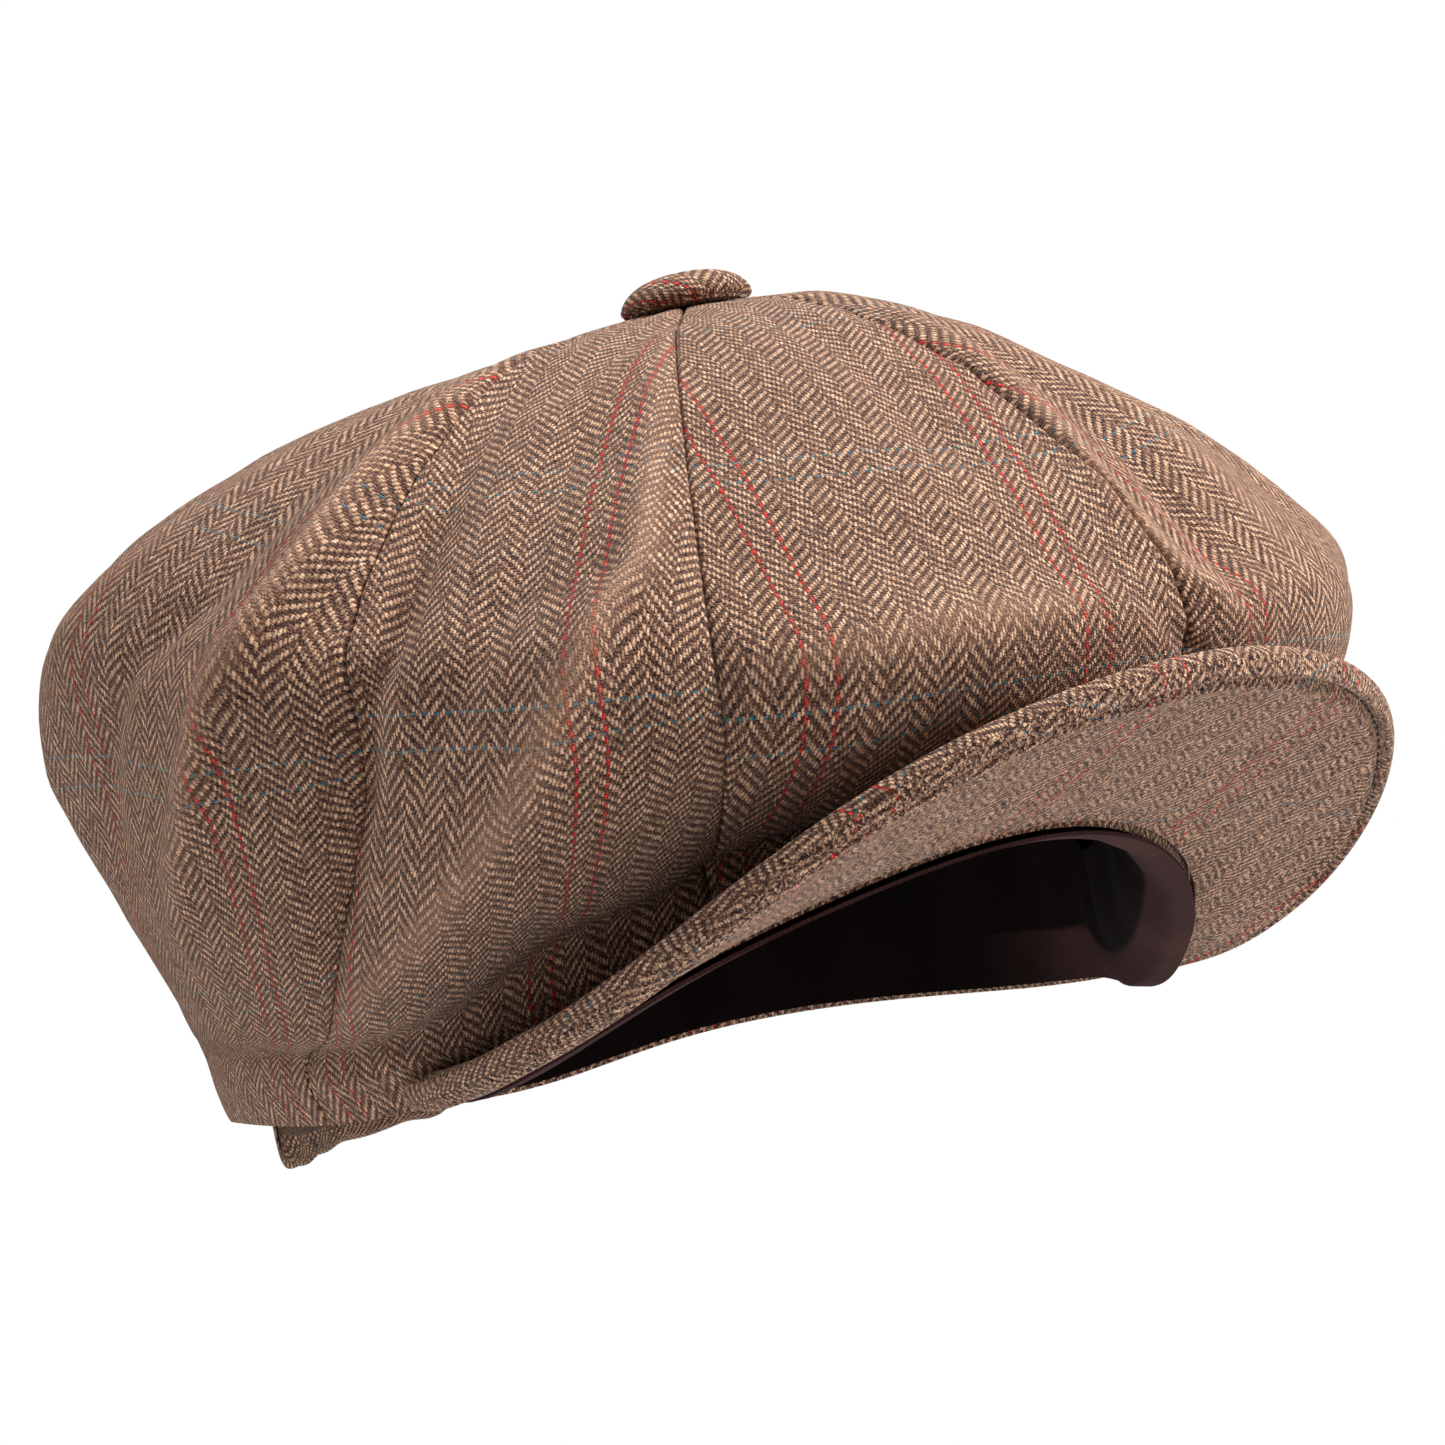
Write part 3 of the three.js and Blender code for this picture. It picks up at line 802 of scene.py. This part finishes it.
def crown_gore(k, number):
    u, v, psi, base, normal = gore_grid(k, GORE_COLUMNS, GORE_ROWS)
    uvs = cloth_coordinates(base, GORE_COLUMNS // 2)
    left = uvs[..., 0] - uvs[:, :1, 0]
    right = uvs[:, -1:, 0] - uvs[..., 0]
    edge = np.minimum(left, right)
    puff = PUFF * (1 - (2 * u - 1) ** 2) * np.sin(pi * v)
    ripple = PUCKER * soft_noise(base, PUCKER_LENGTH, 3) * np.exp(-edge / PUCKER_REACH)
    hollow = -SEAM_HOLLOW * bell(edge, HOLLOW_REACH) * np.sin(pi * v) ** 0.7
    folds, crest = fold_height(base)
    height = (puff + folds * np.sin(pi * 0.97 * v) ** 0.6 + ripple + hollow) * smooth(v / PUFF_FROM)
    roll = np.clip(1 - edge / EDGE_ROLL, 0, 1) ** 2 * EDGE_DROP
    outer = base + normal * (height - roll)[..., None]
    inner = base + normal * (height - TWEED)[..., None]
    # The cloth runs on down over the head band and turns in round its lower edge.
    drop = np.linspace(1, 0, FOOT_ROWS + 1)[:-1][:, None] + 0 * psi[:1]
    around = psi[:1] + 0 * drop
    turn = FOOT_TURN * np.clip((drop - 1 + TURN_SHARE) / TURN_SHARE, 0, 1) ** 2.2
    rise = (1 - drop) * (BAND_HEIGHT + GAP)
    foot = band_point(around, roll[:1] * 0.9 + turn, rise)
    foot_in = band_point(around, FOOT_INNER, rise + 0.1)
    outer = eased_foot(np.concatenate([foot, outer]))
    from_crease = np.concatenate([uvs[:1, :, 1] - drop * (BAND_HEIGHT + GAP), uvs[..., 1]])
    outer = outer + foot_fill(psi[0], from_crease, edge[0])
    inner = np.concatenate([foot_in, inner])
    down = uvs[:1] - np.stack([0 * drop, drop * (BAND_HEIGHT + GAP)], -1)
    uvs = np.concatenate([down, uvs]) + np.array(CHECK_PLACE[k])
    piece = closed_sheet(f"gore_cloth_{number}", outer, inner, eased_foot(uvs), TWEED_CLOTH)
    # Painted highlight: how much each point's colour is lightened along the fold crests, none on the foot
    # rows.
    painted_light = np.concatenate([0 * drop, crest * np.sin(pi * v)]).ravel()
    layer = piece.data.attributes.new("painted_light", "FLOAT", "POINT")
    layer.data.foreach_set("value", np.concatenate([painted_light, painted_light]))
    belongs(piece, f"crown_gore_{number}")


def lining_gore(k, number):
    """The lining follows the crown's folds, and its own slack only ever hangs inwards."""
    u, v, _, base, normal = gore_grid(k, LINING_COLUMNS, LINING_ROWS)
    uvs = cloth_coordinates(base, LINING_COLUMNS // 2)
    slack = 0.9 * soft_noise(base, 14, 5) + 0.5 * soft_noise(base, 6, 6)
    height = (fold_height(base)[0] + PUFF * (1 - (2 * u - 1) ** 2) * np.sin(pi * v)) * np.sin(pi * v) ** 0.6
    height = (height - 0.8 * np.abs(slack) * np.sin(pi * v)) * smooth(v / LINING_FROM)
    outer = base + normal * (height - LINING_DEPTH)[..., None]
    inner = outer - normal * LINING
    piece = closed_sheet(f"lining_cloth_{number}", outer, inner, uvs, SATIN)
    belongs(piece, f"lining_gore_{number}")


# Seam k = 4 is the front centre: gores 1 to 4 go round the wearer's left and 5 to 8 round the right.
for place in range(4):
    for k, number in ((4 + place, place + 1), (3 - place, place + 5)):
        crown_gore(k, number)
        lining_gore(k, number)

# ---------- head band ----------
BAND_INSET = 1.6
BAND_MARGIN = 0.15
BAND_COLUMNS = 120
# Half the angle left open where the two strips join.
BAND_JOIN = 0.004


def head_band(side, half):
    theta = half * np.linspace(BAND_JOIN, pi - BAND_JOIN, BAND_COLUMNS + 1)[None, :]
    up = np.linspace(0, 1, 9)[:, None]
    curl = 0.5 * (2 * up - 1) ** 8
    height = BAND_MARGIN + up * (BAND_HEIGHT - 2 * BAND_MARGIN)
    outer = band_point(theta, BAND_INSET + curl, height)
    inner = band_point(theta, BAND_THICKNESS - curl + 0 * theta, height)
    if half < 0:
        outer, inner = outer[:, ::-1], inner[:, ::-1]
    uvs = cloth_coordinates(outer, BAND_COLUMNS // 2) + np.array([20, 10])
    piece = closed_sheet(f"band_cloth_{side}", outer, inner, uvs, TWEED_CLOTH)
    belongs(piece, f"head_band_{side}")


head_band("left", 1)
head_band("right", -1)

# ---------- elastic casing ----------
CASING_THICKNESS = 3.8
CASING_WALL = 1.0
CASING_GIRTH = 36.0
CASING_TAPER = 2.6
CASING_LAP = radians(8.5)
CASING_DROOP = 2.4
CASING_GATHERS = 4.5
# Its ends are pinched and rounded off, over a share of its length.
CASING_PINCH = 0.75
PINCH_SHARE = 0.07
CASING_ROUNDING = 3.2
ROUNDING_SHARE = 0.09
# How much longer the gathered cloth is than the casing.
CASING_FULLNESS = 1.35
ELASTIC = 1.0
ELASTIC_MARGIN = 1.8
ELASTIC_RAISE = 0.5
ELASTIC_COLUMNS = 80


def casing_hang(place):
    """How much the casing's lower edge is raised along it: it tapers at one end and droops at the other."""
    return CASING_TAPER * smooth((0.85 - place) / 0.8) - CASING_DROOP * smooth((place - 0.55) / 0.4)


def elastic_casing():
    steps, around = 120, 32
    theta = np.linspace(CASING_FROM, CASING_TO + CASING_LAP, steps + 1)
    place = np.linspace(0, 1, steps + 1)
    corner = np.linspace(0, 2 * pi, around, endpoint=False)
    middle_depth = BAND_THICKNESS + GAP + CASING_THICKNESS / 2
    middle_z = (CASING_BOTTOM + CASING_TOP) / 2
    half_z = (CASING_TOP - CASING_BOTTOM) / 2
    gather = 0.5 + 0.5 * np.sin(place * 2 * pi * CASING_GATHERS + 1.7 * np.sin(place * 2 * pi * 1.3))
    from_end = np.minimum(place, 1 - place)
    pinch = 1 - CASING_PINCH * np.clip(1 - from_end / PINCH_SHARE, 0, 1) ** 2
    rounding = CASING_ROUNDING * np.clip(1 - from_end / ROUNDING_SHARE, 0, 1) ** 2.4
    hang = casing_hang(place)
    rings = []
    for inset in (0.0, CASING_WALL):
        ring = []
        for angle in corner:
            c, s = cos(angle), sin(angle)
            wide = np.sign(c) * abs(c) ** 0.6 * (CASING_THICKNESS / 2 - inset) * pinch
            tall = np.sign(s) * abs(s) ** 0.5 * (half_z - inset)
            crumple = (gather - 0.5) * (0.7 if c > 0 else 0.3) * abs(c)
            below = max(-s, 0.0) ** 0.7
            depth = middle_depth + wide + crumple * pinch
            spot = band_point(theta, depth, 0)
            spot[:, 2] = middle_z + tall + below * (hang + rounding + 0.5 * gather)
            ring.append(spot)
        rings.append(np.stack(ring, 1))
    outer, inner = rings
    length = path_length(outer[:, 0]) * CASING_FULLNESS
    girth = np.linspace(0, CASING_GIRTH, around)
    # The cloth's warp runs round the head.
    uvs = np.stack(np.broadcast_arrays(girth[None, :] + 12, length[:, None]), -1)
    piece = closed_tube("casing_cloth", outer, inner, uvs, TWEED_CLOTH)
    belongs(piece, "elastic_casing")


elastic_casing()


def elastic_strip():
    """The flat elastic inside the casing, which ends short of the casing's pinched ends."""
    place = np.linspace(0.1, 0.9, ELASTIC_COLUMNS + 1)[None, :]
    up = np.linspace(0, 1, 7)[:, None]
    theta = mix(CASING_FROM, CASING_TO + CASING_LAP, place)
    bottom = CASING_BOTTOM + ELASTIC_MARGIN + ELASTIC_RAISE + casing_hang(place)
    rows = []
    for side in (-1, 1):
        depth = BAND_THICKNESS + GAP + CASING_THICKNESS / 2 + side * ELASTIC / 2
        spot = band_point(theta, depth, 0 * up)
        spot[..., 2] = mix(bottom, CASING_TOP - ELASTIC_MARGIN, up)
        rows.append(spot)
    uvs = cloth_coordinates(rows[0], ELASTIC_COLUMNS // 2)
    outer, inner, uvs = rows[0][:, ::-1], rows[1][:, ::-1], uvs[:, ::-1]
    piece = closed_sheet("elastic_strip", outer, inner, uvs, elastic_material())
    belongs(piece, "back_elastic")


elastic_strip()

# ---------- sweatband ----------
SWEATBAND = 0.7
SWEATBAND_DEPTH = 3.3
SWEATBAND_WIDTH = 29.0
SWEATBAND_RAISE = 1.0
# It ends short of the casing, and under the peak it is wrapped round the band's lower edge.
SWEATBAND_END = 0.01
SWEATBAND_WRAP = 3.6
WRAP_DEPTH = 0.2
WRAP_FADE = radians(7)
# Over the forehead the ribbon leans inwards, up to a share of its width.
LEAN_MIDDLE = radians(28)
LEAN_REACH = radians(42)
LEAN_LEAST = radians(6)
LEAN_MORE = radians(70)
LEAN_SHARE = 0.62
RIBBON_RIPPLE = radians(3)
# On the left its lower edge sags out of the band beside the peak's end.
RIBBON_SAG = 2.4
RIBBON_SAG_MIDDLE = radians(66)
RIBBON_SAG_REACH = radians(9)


def sweatband():
    steps, rows = 300, 30
    from_right = CASING_TO + CASING_LAP - 2 * pi + SWEATBAND_END
    theta = np.linspace(from_right, CASING_FROM - SWEATBAND_END, steps + 1)[None, :]
    share = np.linspace(0, 1, rows + 1)[:, None]
    # It lies back against the lining round the sides and rolls inwards over the forehead.
    lean = np.exp(-((np.abs(theta) - LEAN_MIDDLE) / LEAN_REACH) ** 4)
    lean = LEAN_LEAST + LEAN_MORE * lean * (1 - 0.25 * np.cos(theta * 9))
    ripple = RIBBON_RIPPLE * np.sin(theta * 23 + 2 * share)
    under = smooth((PEAK_SPAN - np.abs(theta)) / WRAP_FADE)
    wrapped = under * (share < SWEATBAND_WRAP / SWEATBAND_WIDTH)
    angle = mix(lean * np.clip(1 - share / LEAN_SHARE, 0, 1) + ripple, pi / 2, wrapped)
    step = SWEATBAND_WIDTH / rows
    inwards = np.concatenate([0 * theta, np.cumsum(np.sin(angle[:-1]) * step, axis=0)])
    upwards = np.concatenate([0 * theta, np.cumsum(np.cos(angle[:-1]) * step, axis=0)])
    sag = RIBBON_SAG * bell(theta - RIBBON_SAG_MIDDLE, RIBBON_SAG_REACH) * (1 - share) ** 3
    first_depth = mix(SWEATBAND_DEPTH, WRAP_DEPTH, under)
    first_height = mix(SWEATBAND_RAISE, -SWEATBAND - GAP, under)
    outer = band_point(theta, first_depth + inwards, first_height + upwards - sag)
    inner = outer - grid_normals(outer) * SWEATBAND
    uvs = np.stack(np.broadcast_arrays(path_length(outer[0])[None, :], share * SWEATBAND_WIDTH), -1)
    piece = closed_sheet("sweatband_ribbon", outer, inner, uvs, RIBBON)
    belongs(piece, "sweatband")


sweatband()

# ---------- peak ----------
PEAK_DEPTH = 52.0
PEAK_END_DEPTH = 3.5
PEAK_POWER = 1.62
PEAK_FAN = 1.27
PEAK_RISE_MIDDLE = 0.32
PEAK_RISE_CHANGE = -0.54
BOARD = 1.6
COVER = 1.5
UPRIGHT_REACH = 0.3
STITCH_INSET = 3.3
STITCH_PITCH = 3.2
STITCH_SPAN = 0.97
# A stitch is a bar of thread: places along it, in pitches, and the lift and radius at each.
STITCH_BAR = [
    (0.12, -0.25, 0.16), (0.3, 0.05, 0.24), (0.5, 0.15, 0.26), (0.7, 0.05, 0.24), (0.88, -0.25, 0.16)]
STITCH_SIDES = 6
# The cloth beside the row of stitches: height, distance further in and half width.
STITCH_PROFILE = [(0.4, -1.9, 0.9), (-1.5, 0.0, 0.75), (0.6, 2.2, 1.4)]
# Beside the head band there is no board between the covers, and the lower one sinks a little.
PEAK_SINK = 0.7
PEAK_SINK_FROM = 4.5
PEAK_SINK_FADE = 2.5
PEAK_WAVES = 0.35
PEAK_COLUMNS = 180
PEAK_ROWS = 56
BOARD_COLUMNS = 120
BOARD_ACROSS = 0.93
BOARD_OUT = (0.1, 0.9)
PEAK_HALF = BOARD / 2 + GAP + COVER


def peak_depth(across):
    return mix(PEAK_DEPTH, PEAK_END_DEPTH, np.abs(across) ** PEAK_POWER)


def peak_point(across, out):
    theta = across * PEAK_SPAN
    root = band_point(theta, -GAP, BOARD / 2 + COVER + GAP)
    depth = peak_depth(across) * out
    fan = PEAK_FAN * theta
    rise = PEAK_RISE_MIDDLE + PEAK_RISE_CHANGE * across ** 2 + PEAK_DROOP * bent(theta)
    return root + np.stack([np.sin(fan) * depth, -np.cos(fan) * depth, rise * depth], -1)


def peak_stack(across, out):
    """The way the peak's layers stack: upright at the band, square to the peak further out."""
    step = 1e-3
    a = np.clip(across, step - 1, 1 - step)
    half = 0 * a + 0.5
    ribs = peak_point(a + step, half) - peak_point(a - step, half)
    length = peak_point(a, 0 * a + 1) - peak_point(a, 0 * a)
    square = unit(np.cross(length, ribs))
    square = np.where(square[..., 2:] < 0, -square, square)
    return unit(mix(np.array([0, 0, 1.0]), square, smooth(out / UPRIGHT_REACH)[..., None]))


def peak_height(across, out, side):
    """Height of a cover over the peak's middle surface, with the rolled edge and the stitched groove."""
    from_edge = (1 - out) * peak_depth(across)
    from_end = (1 - np.abs(across)) * PEAK_SPAN * HEAD_A
    inward = np.minimum(from_edge, from_end + 1.2)
    rounded = np.sqrt(np.clip(1 - np.clip(1 - inward / PEAK_HALF, 0, 1) ** 2, 0, 1))
    height = PEAK_HALF + sum(
        rise * bell(from_edge - STITCH_INSET - place, width) for rise, place, width in STITCH_PROFILE)
    if side < 0:
        from_band = out * peak_depth(across)
        height = height - PEAK_SINK * (1 - smooth((from_band - PEAK_SINK_FROM) / PEAK_SINK_FADE))
    return rounded * height


def peak_rows(count):
    """Stations from the root to the edge, closer together near the edge."""
    even = np.linspace(0, 1, count + 1)
    return 1 - (1 - even) ** 1.7


def peak_cover(name, node, side):
    even = np.linspace(-1, 1, PEAK_COLUMNS + 1)
    across = mix(even, np.sin(even * pi / 2), 0.35)
    across, out = np.broadcast_arrays(across[None, :], peak_rows(PEAK_ROWS)[:, None])
    middle = peak_point(across, out)
    stack = peak_stack(across, out)
    waves = PEAK_WAVES * soft_noise(middle, 16, 7 + side) * smooth(out * 4) * smooth((1 - out) * 6)
    height = peak_height(across, out, side)
    inside = np.minimum(BOARD / 2 + GAP / 2, np.maximum(height - 0.5, 0.04))
    outer = middle + stack * (side * (np.maximum(height, 0.12) + waves))[..., None]
    inner = middle + stack * (side * inside)[..., None]
    run = np.cumsum(np.linalg.norm(np.diff(outer, axis=0, prepend=outer[:1]), axis=-1), axis=0)
    fan = PEAK_FAN * across * PEAK_SPAN
    uvs = np.stack([outer[:1, :, 0] + np.sin(fan) * run, -outer[:1, :, 1] + np.cos(fan) * run], -1)
    if side < 0:
        outer, inner, uvs = outer[:, ::-1], inner[:, ::-1], uvs[:, ::-1]
    cloth = TWEED_CLOTH if side > 0 else FLAT_TWEED
    piece = closed_sheet(name, outer, inner, uvs + np.array([14, 8 + 9 * side]), cloth)
    belongs(piece, node)


def stiffener():
    """The board between the two covers, bent with them and clear of the rolled edge."""
    across = np.linspace(-BOARD_ACROSS, BOARD_ACROSS, BOARD_COLUMNS + 1)[None, :]
    across, out = np.broadcast_arrays(across, np.linspace(*BOARD_OUT, 25)[:, None])
    middle, stack = peak_point(across, out), peak_stack(across, out)
    upper, lower = middle + stack * BOARD / 2, middle - stack * BOARD / 2
    uvs = cloth_coordinates(middle, BOARD_COLUMNS // 2)
    piece = closed_sheet("peak_stiffener", upper, lower, uvs, board_material())
    belongs(piece, "peak_board")


def stitch_row(name, face):
    """Short bars of thread in the groove that runs round the peak, on its upper or its lower face."""
    fine = np.linspace(-STITCH_SPAN, STITCH_SPAN, 1200)
    out = 1 - STITCH_INSET / peak_depth(fine)
    height = peak_height(fine, out, face) + 0.05
    path = peak_point(fine, out) + face * peak_stack(fine, out) * height[:, None]
    run = path_length(path)
    bar = np.array(STITCH_BAR)
    vertices, faces = [], []
    for number in range(int(run[-1] / STITCH_PITCH)):
        places = (number + bar[:, 0]) * STITCH_PITCH
        line = np.stack([np.interp(places, run, path[:, c]) for c in range(3)], -1)
        across = np.interp(places[2], run, fine)
        up = face * peak_stack(np.array([across]), np.array([0.8]))[0]
        ahead = line[-1] - line[0]
        ahead /= np.linalg.norm(ahead)
        side = np.cross(ahead, up)
        first = len(vertices)
        for point, (_, lift, radius) in zip(line, bar):
            for angle in np.linspace(0, 2 * pi, STITCH_SIDES, endpoint=False):
                vertices.append(point + up * (lift + radius * sin(angle)) + side * radius * cos(angle))
        last = len(vertices) - STITCH_SIDES
        faces += grid_faces(len(bar), STITCH_SIDES, first, flip=True, wrap=True)
        faces.append(tuple(range(first, first + STITCH_SIDES)))
        faces.append(tuple(range(last + STITCH_SIDES - 1, last - 1, -1)))
    piece = new_piece(name, np.array(vertices), faces, None, THREAD)
    belongs(piece, None)


stiffener()
peak_cover("peak_cloth_top", "peak_top_cover", 1)
peak_cover("peak_cloth_under", "peak_under_cover", -1)
stitch_row("peak_topstitching", 1)
stitch_row("peak_stitching_below", -1)

# ---------- button ----------
BUTTON_WALL = 0.9
BUTTON_SKIRT = 1.7
BUTTON_EDGE = 2.0
BUTTON_TUCK = 3.4
# The share of the cloth that lies over the button before it turns under, and its cut against the button.
BUTTON_OVER = 0.72
BUTTON_CUT = 1.35
BUTTON_AROUND = 132
BUTTON_ROWS = 40
PLEATS = 22
PLEAT = 0.22
DENT = 0.3
WELD = 0.01


def covered_button():
    angle = np.linspace(0, 2 * pi, BUTTON_AROUND, endpoint=False)[None, :]
    run = np.linspace(0, 1, BUTTON_ROWS + 1)[:, None]
    bend = np.clip(run / BUTTON_OVER, 0, 1) * pi / 2
    under = np.clip((run - BUTTON_OVER) / (1 - BUTTON_OVER), 0, 1)
    rise = mix(BUTTON_EDGE, BUTTON_HEIGHT, np.cos(bend).clip(0) ** 0.8)
    rise = rise - BUTTON_EDGE * np.sin(under * pi / 2) - BUTTON_SKIRT * np.sin(bend) ** 4
    pleat = PLEAT * np.cos(PLEATS * angle + 0.9 * np.sin(3 * angle)) * smooth((run - 0.55) / 0.25)
    dent = DENT * np.sin(2 * angle + 0.6) * np.sin(bend) ** 2
    radius = BUTTON_R * np.sin(bend) - BUTTON_TUCK * smooth(under) + pleat + dent * 0.6
    x = radius * np.cos(angle)
    y = TOP_Y + radius * np.sin(angle)
    outer = np.stack([x, y, BUTTON_BOTTOM + rise + 0.25 * dent], -1)
    centre = np.array([0, TOP_Y, BUTTON_BOTTOM + BUTTON_EDGE])
    inner = centre + (outer - centre) * (1 - BUTTON_WALL / BUTTON_R)
    inner[..., 2] = outer[..., 2] + np.where(run < 0.8, -BUTTON_WALL, BUTTON_WALL * 0.8)
    ring = run * BUTTON_R * BUTTON_CUT
    uvs = np.stack([ring * np.cos(angle), ring * np.sin(angle)], -1) + np.array([60, 20])
    piece = closed_tube("button_cloth", outer, inner, uvs, TWEED_CLOTH, pole=True)
    piece.modifiers.new("weld", "WELD").merge_threshold = WELD * MM
    belongs(piece, "button_cover")


covered_button()

# ---------- CAD nodes that stay ----------
STEEL = steel_material()
BUTTON_THREAD = thread_material("button_thread", srgb(90, 70, 58))
for node, material in (
        ("button_shell", STEEL), ("button_back_plate", STEEL), ("button_thread", BUTTON_THREAD)):
    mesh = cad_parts[node].data
    mesh.materials.clear()
    mesh.materials.append(material)

# ---------- floor, world and lights, in metres ----------
FLOOR_Z = -0.24
FLOOR_RADIUS = 1.5
FLOOR_CORNERS = 64
FLOOR_GLOW = 0.06
AMBIENT = 0.1


def pale_floor():
    mesh = bpy.data.meshes.new("floor")
    angles = np.linspace(0, 2 * pi, FLOOR_CORNERS, endpoint=False)
    ring = [(FLOOR_RADIUS * cos(a), FLOOR_RADIUS * sin(a), FLOOR_Z) for a in angles]
    mesh.from_pydata(ring, [], [tuple(range(FLOOR_CORNERS))])
    floor = add_object("floor", mesh)
    n = Nodes("floor", (0.75, 0.75, 0.75, 1), 0.9)
    n.set("Emission Color", (1, 1, 1, 1))
    n.set("Emission Strength", FLOOR_GLOW)
    mesh.materials.append(n.material)


def area_light(name, position, size, power, colour):
    data = bpy.data.lights.new(name, "AREA")
    data.shape = "DISK"
    data.size = size
    data.energy = power
    data.color = colour
    light = add_object(name, data)
    light.location = position
    light.rotation_euler = (AIM - position).to_track_quat("-Z", "Y").to_euler()


pale_floor()
world = bpy.data.worlds.new("studio")
world.use_nodes = True
# The backdrop is plain white to look at, and lights the cap less than it looks.
light_path = world.node_tree.nodes.new("ShaderNodeLightPath")
strength = world.node_tree.nodes.new("ShaderNodeMapRange")
strength.inputs["To Min"].default_value = AMBIENT
strength.inputs["To Max"].default_value = 1.0
world.node_tree.links.new(light_path.outputs["Is Camera Ray"], strength.inputs["Value"])
background = world.node_tree.nodes["Background"]
background.inputs["Color"].default_value = (1, 1, 1, 1)
world.node_tree.links.new(strength.outputs[0], background.inputs["Strength"])
bpy.context.scene.world = world
bpy.context.scene.view_settings.view_transform = "Standard"

# ---------- camera, in metres ----------
AZIMUTH = radians(-38)
ELEVATION = radians(-4.13)
ROLL = radians(11.604)
DISTANCE = 0.95
SENSOR = 36
LENS_TO_FRAME = 3.5586
AIM = Vector((0, 0, 0.065))
# The picture's centre lies a little to the right of what the camera turns round, and above it.
AIM_RIGHT = 0.01506
AIM_UP = 0.00052

back = Vector((sin(AZIMUTH) * cos(ELEVATION), -cos(AZIMUTH) * cos(ELEVATION), sin(ELEVATION)))
level = Vector((cos(AZIMUTH), sin(AZIMUTH), 0))
upright = back.cross(level)
right = level * cos(ROLL) - upright * sin(ROLL)
up = level * sin(ROLL) + upright * cos(ROLL)

camera_data = bpy.data.cameras.new("camera")
camera_data.sensor_width = SENSOR
camera_data.lens = SENSOR * LENS_TO_FRAME
camera = add_object("camera", camera_data)
camera.matrix_world = Matrix.Translation(AIM + right * AIM_RIGHT + up * AIM_UP + back * DISTANCE) @ Matrix(
    (right, up, back)).transposed().to_4x4()
bpy.context.scene.camera = camera

# Sizes in metres and powers in watts, placed as the camera sees them.
area_light("key", AIM + right * 1.0 + up * 0.9 + back * 0.35, 0.6, 21, (1.0, 0.98, 0.95))
area_light("fill", AIM - right * 1.2 + up * 0.8 + back * 0.3, 0.7, 9.5, (1.0, 0.99, 0.98))
area_light("top", AIM + up * 1.3 - back * 0.3, 0.7, 12, (1.0, 0.99, 0.97))
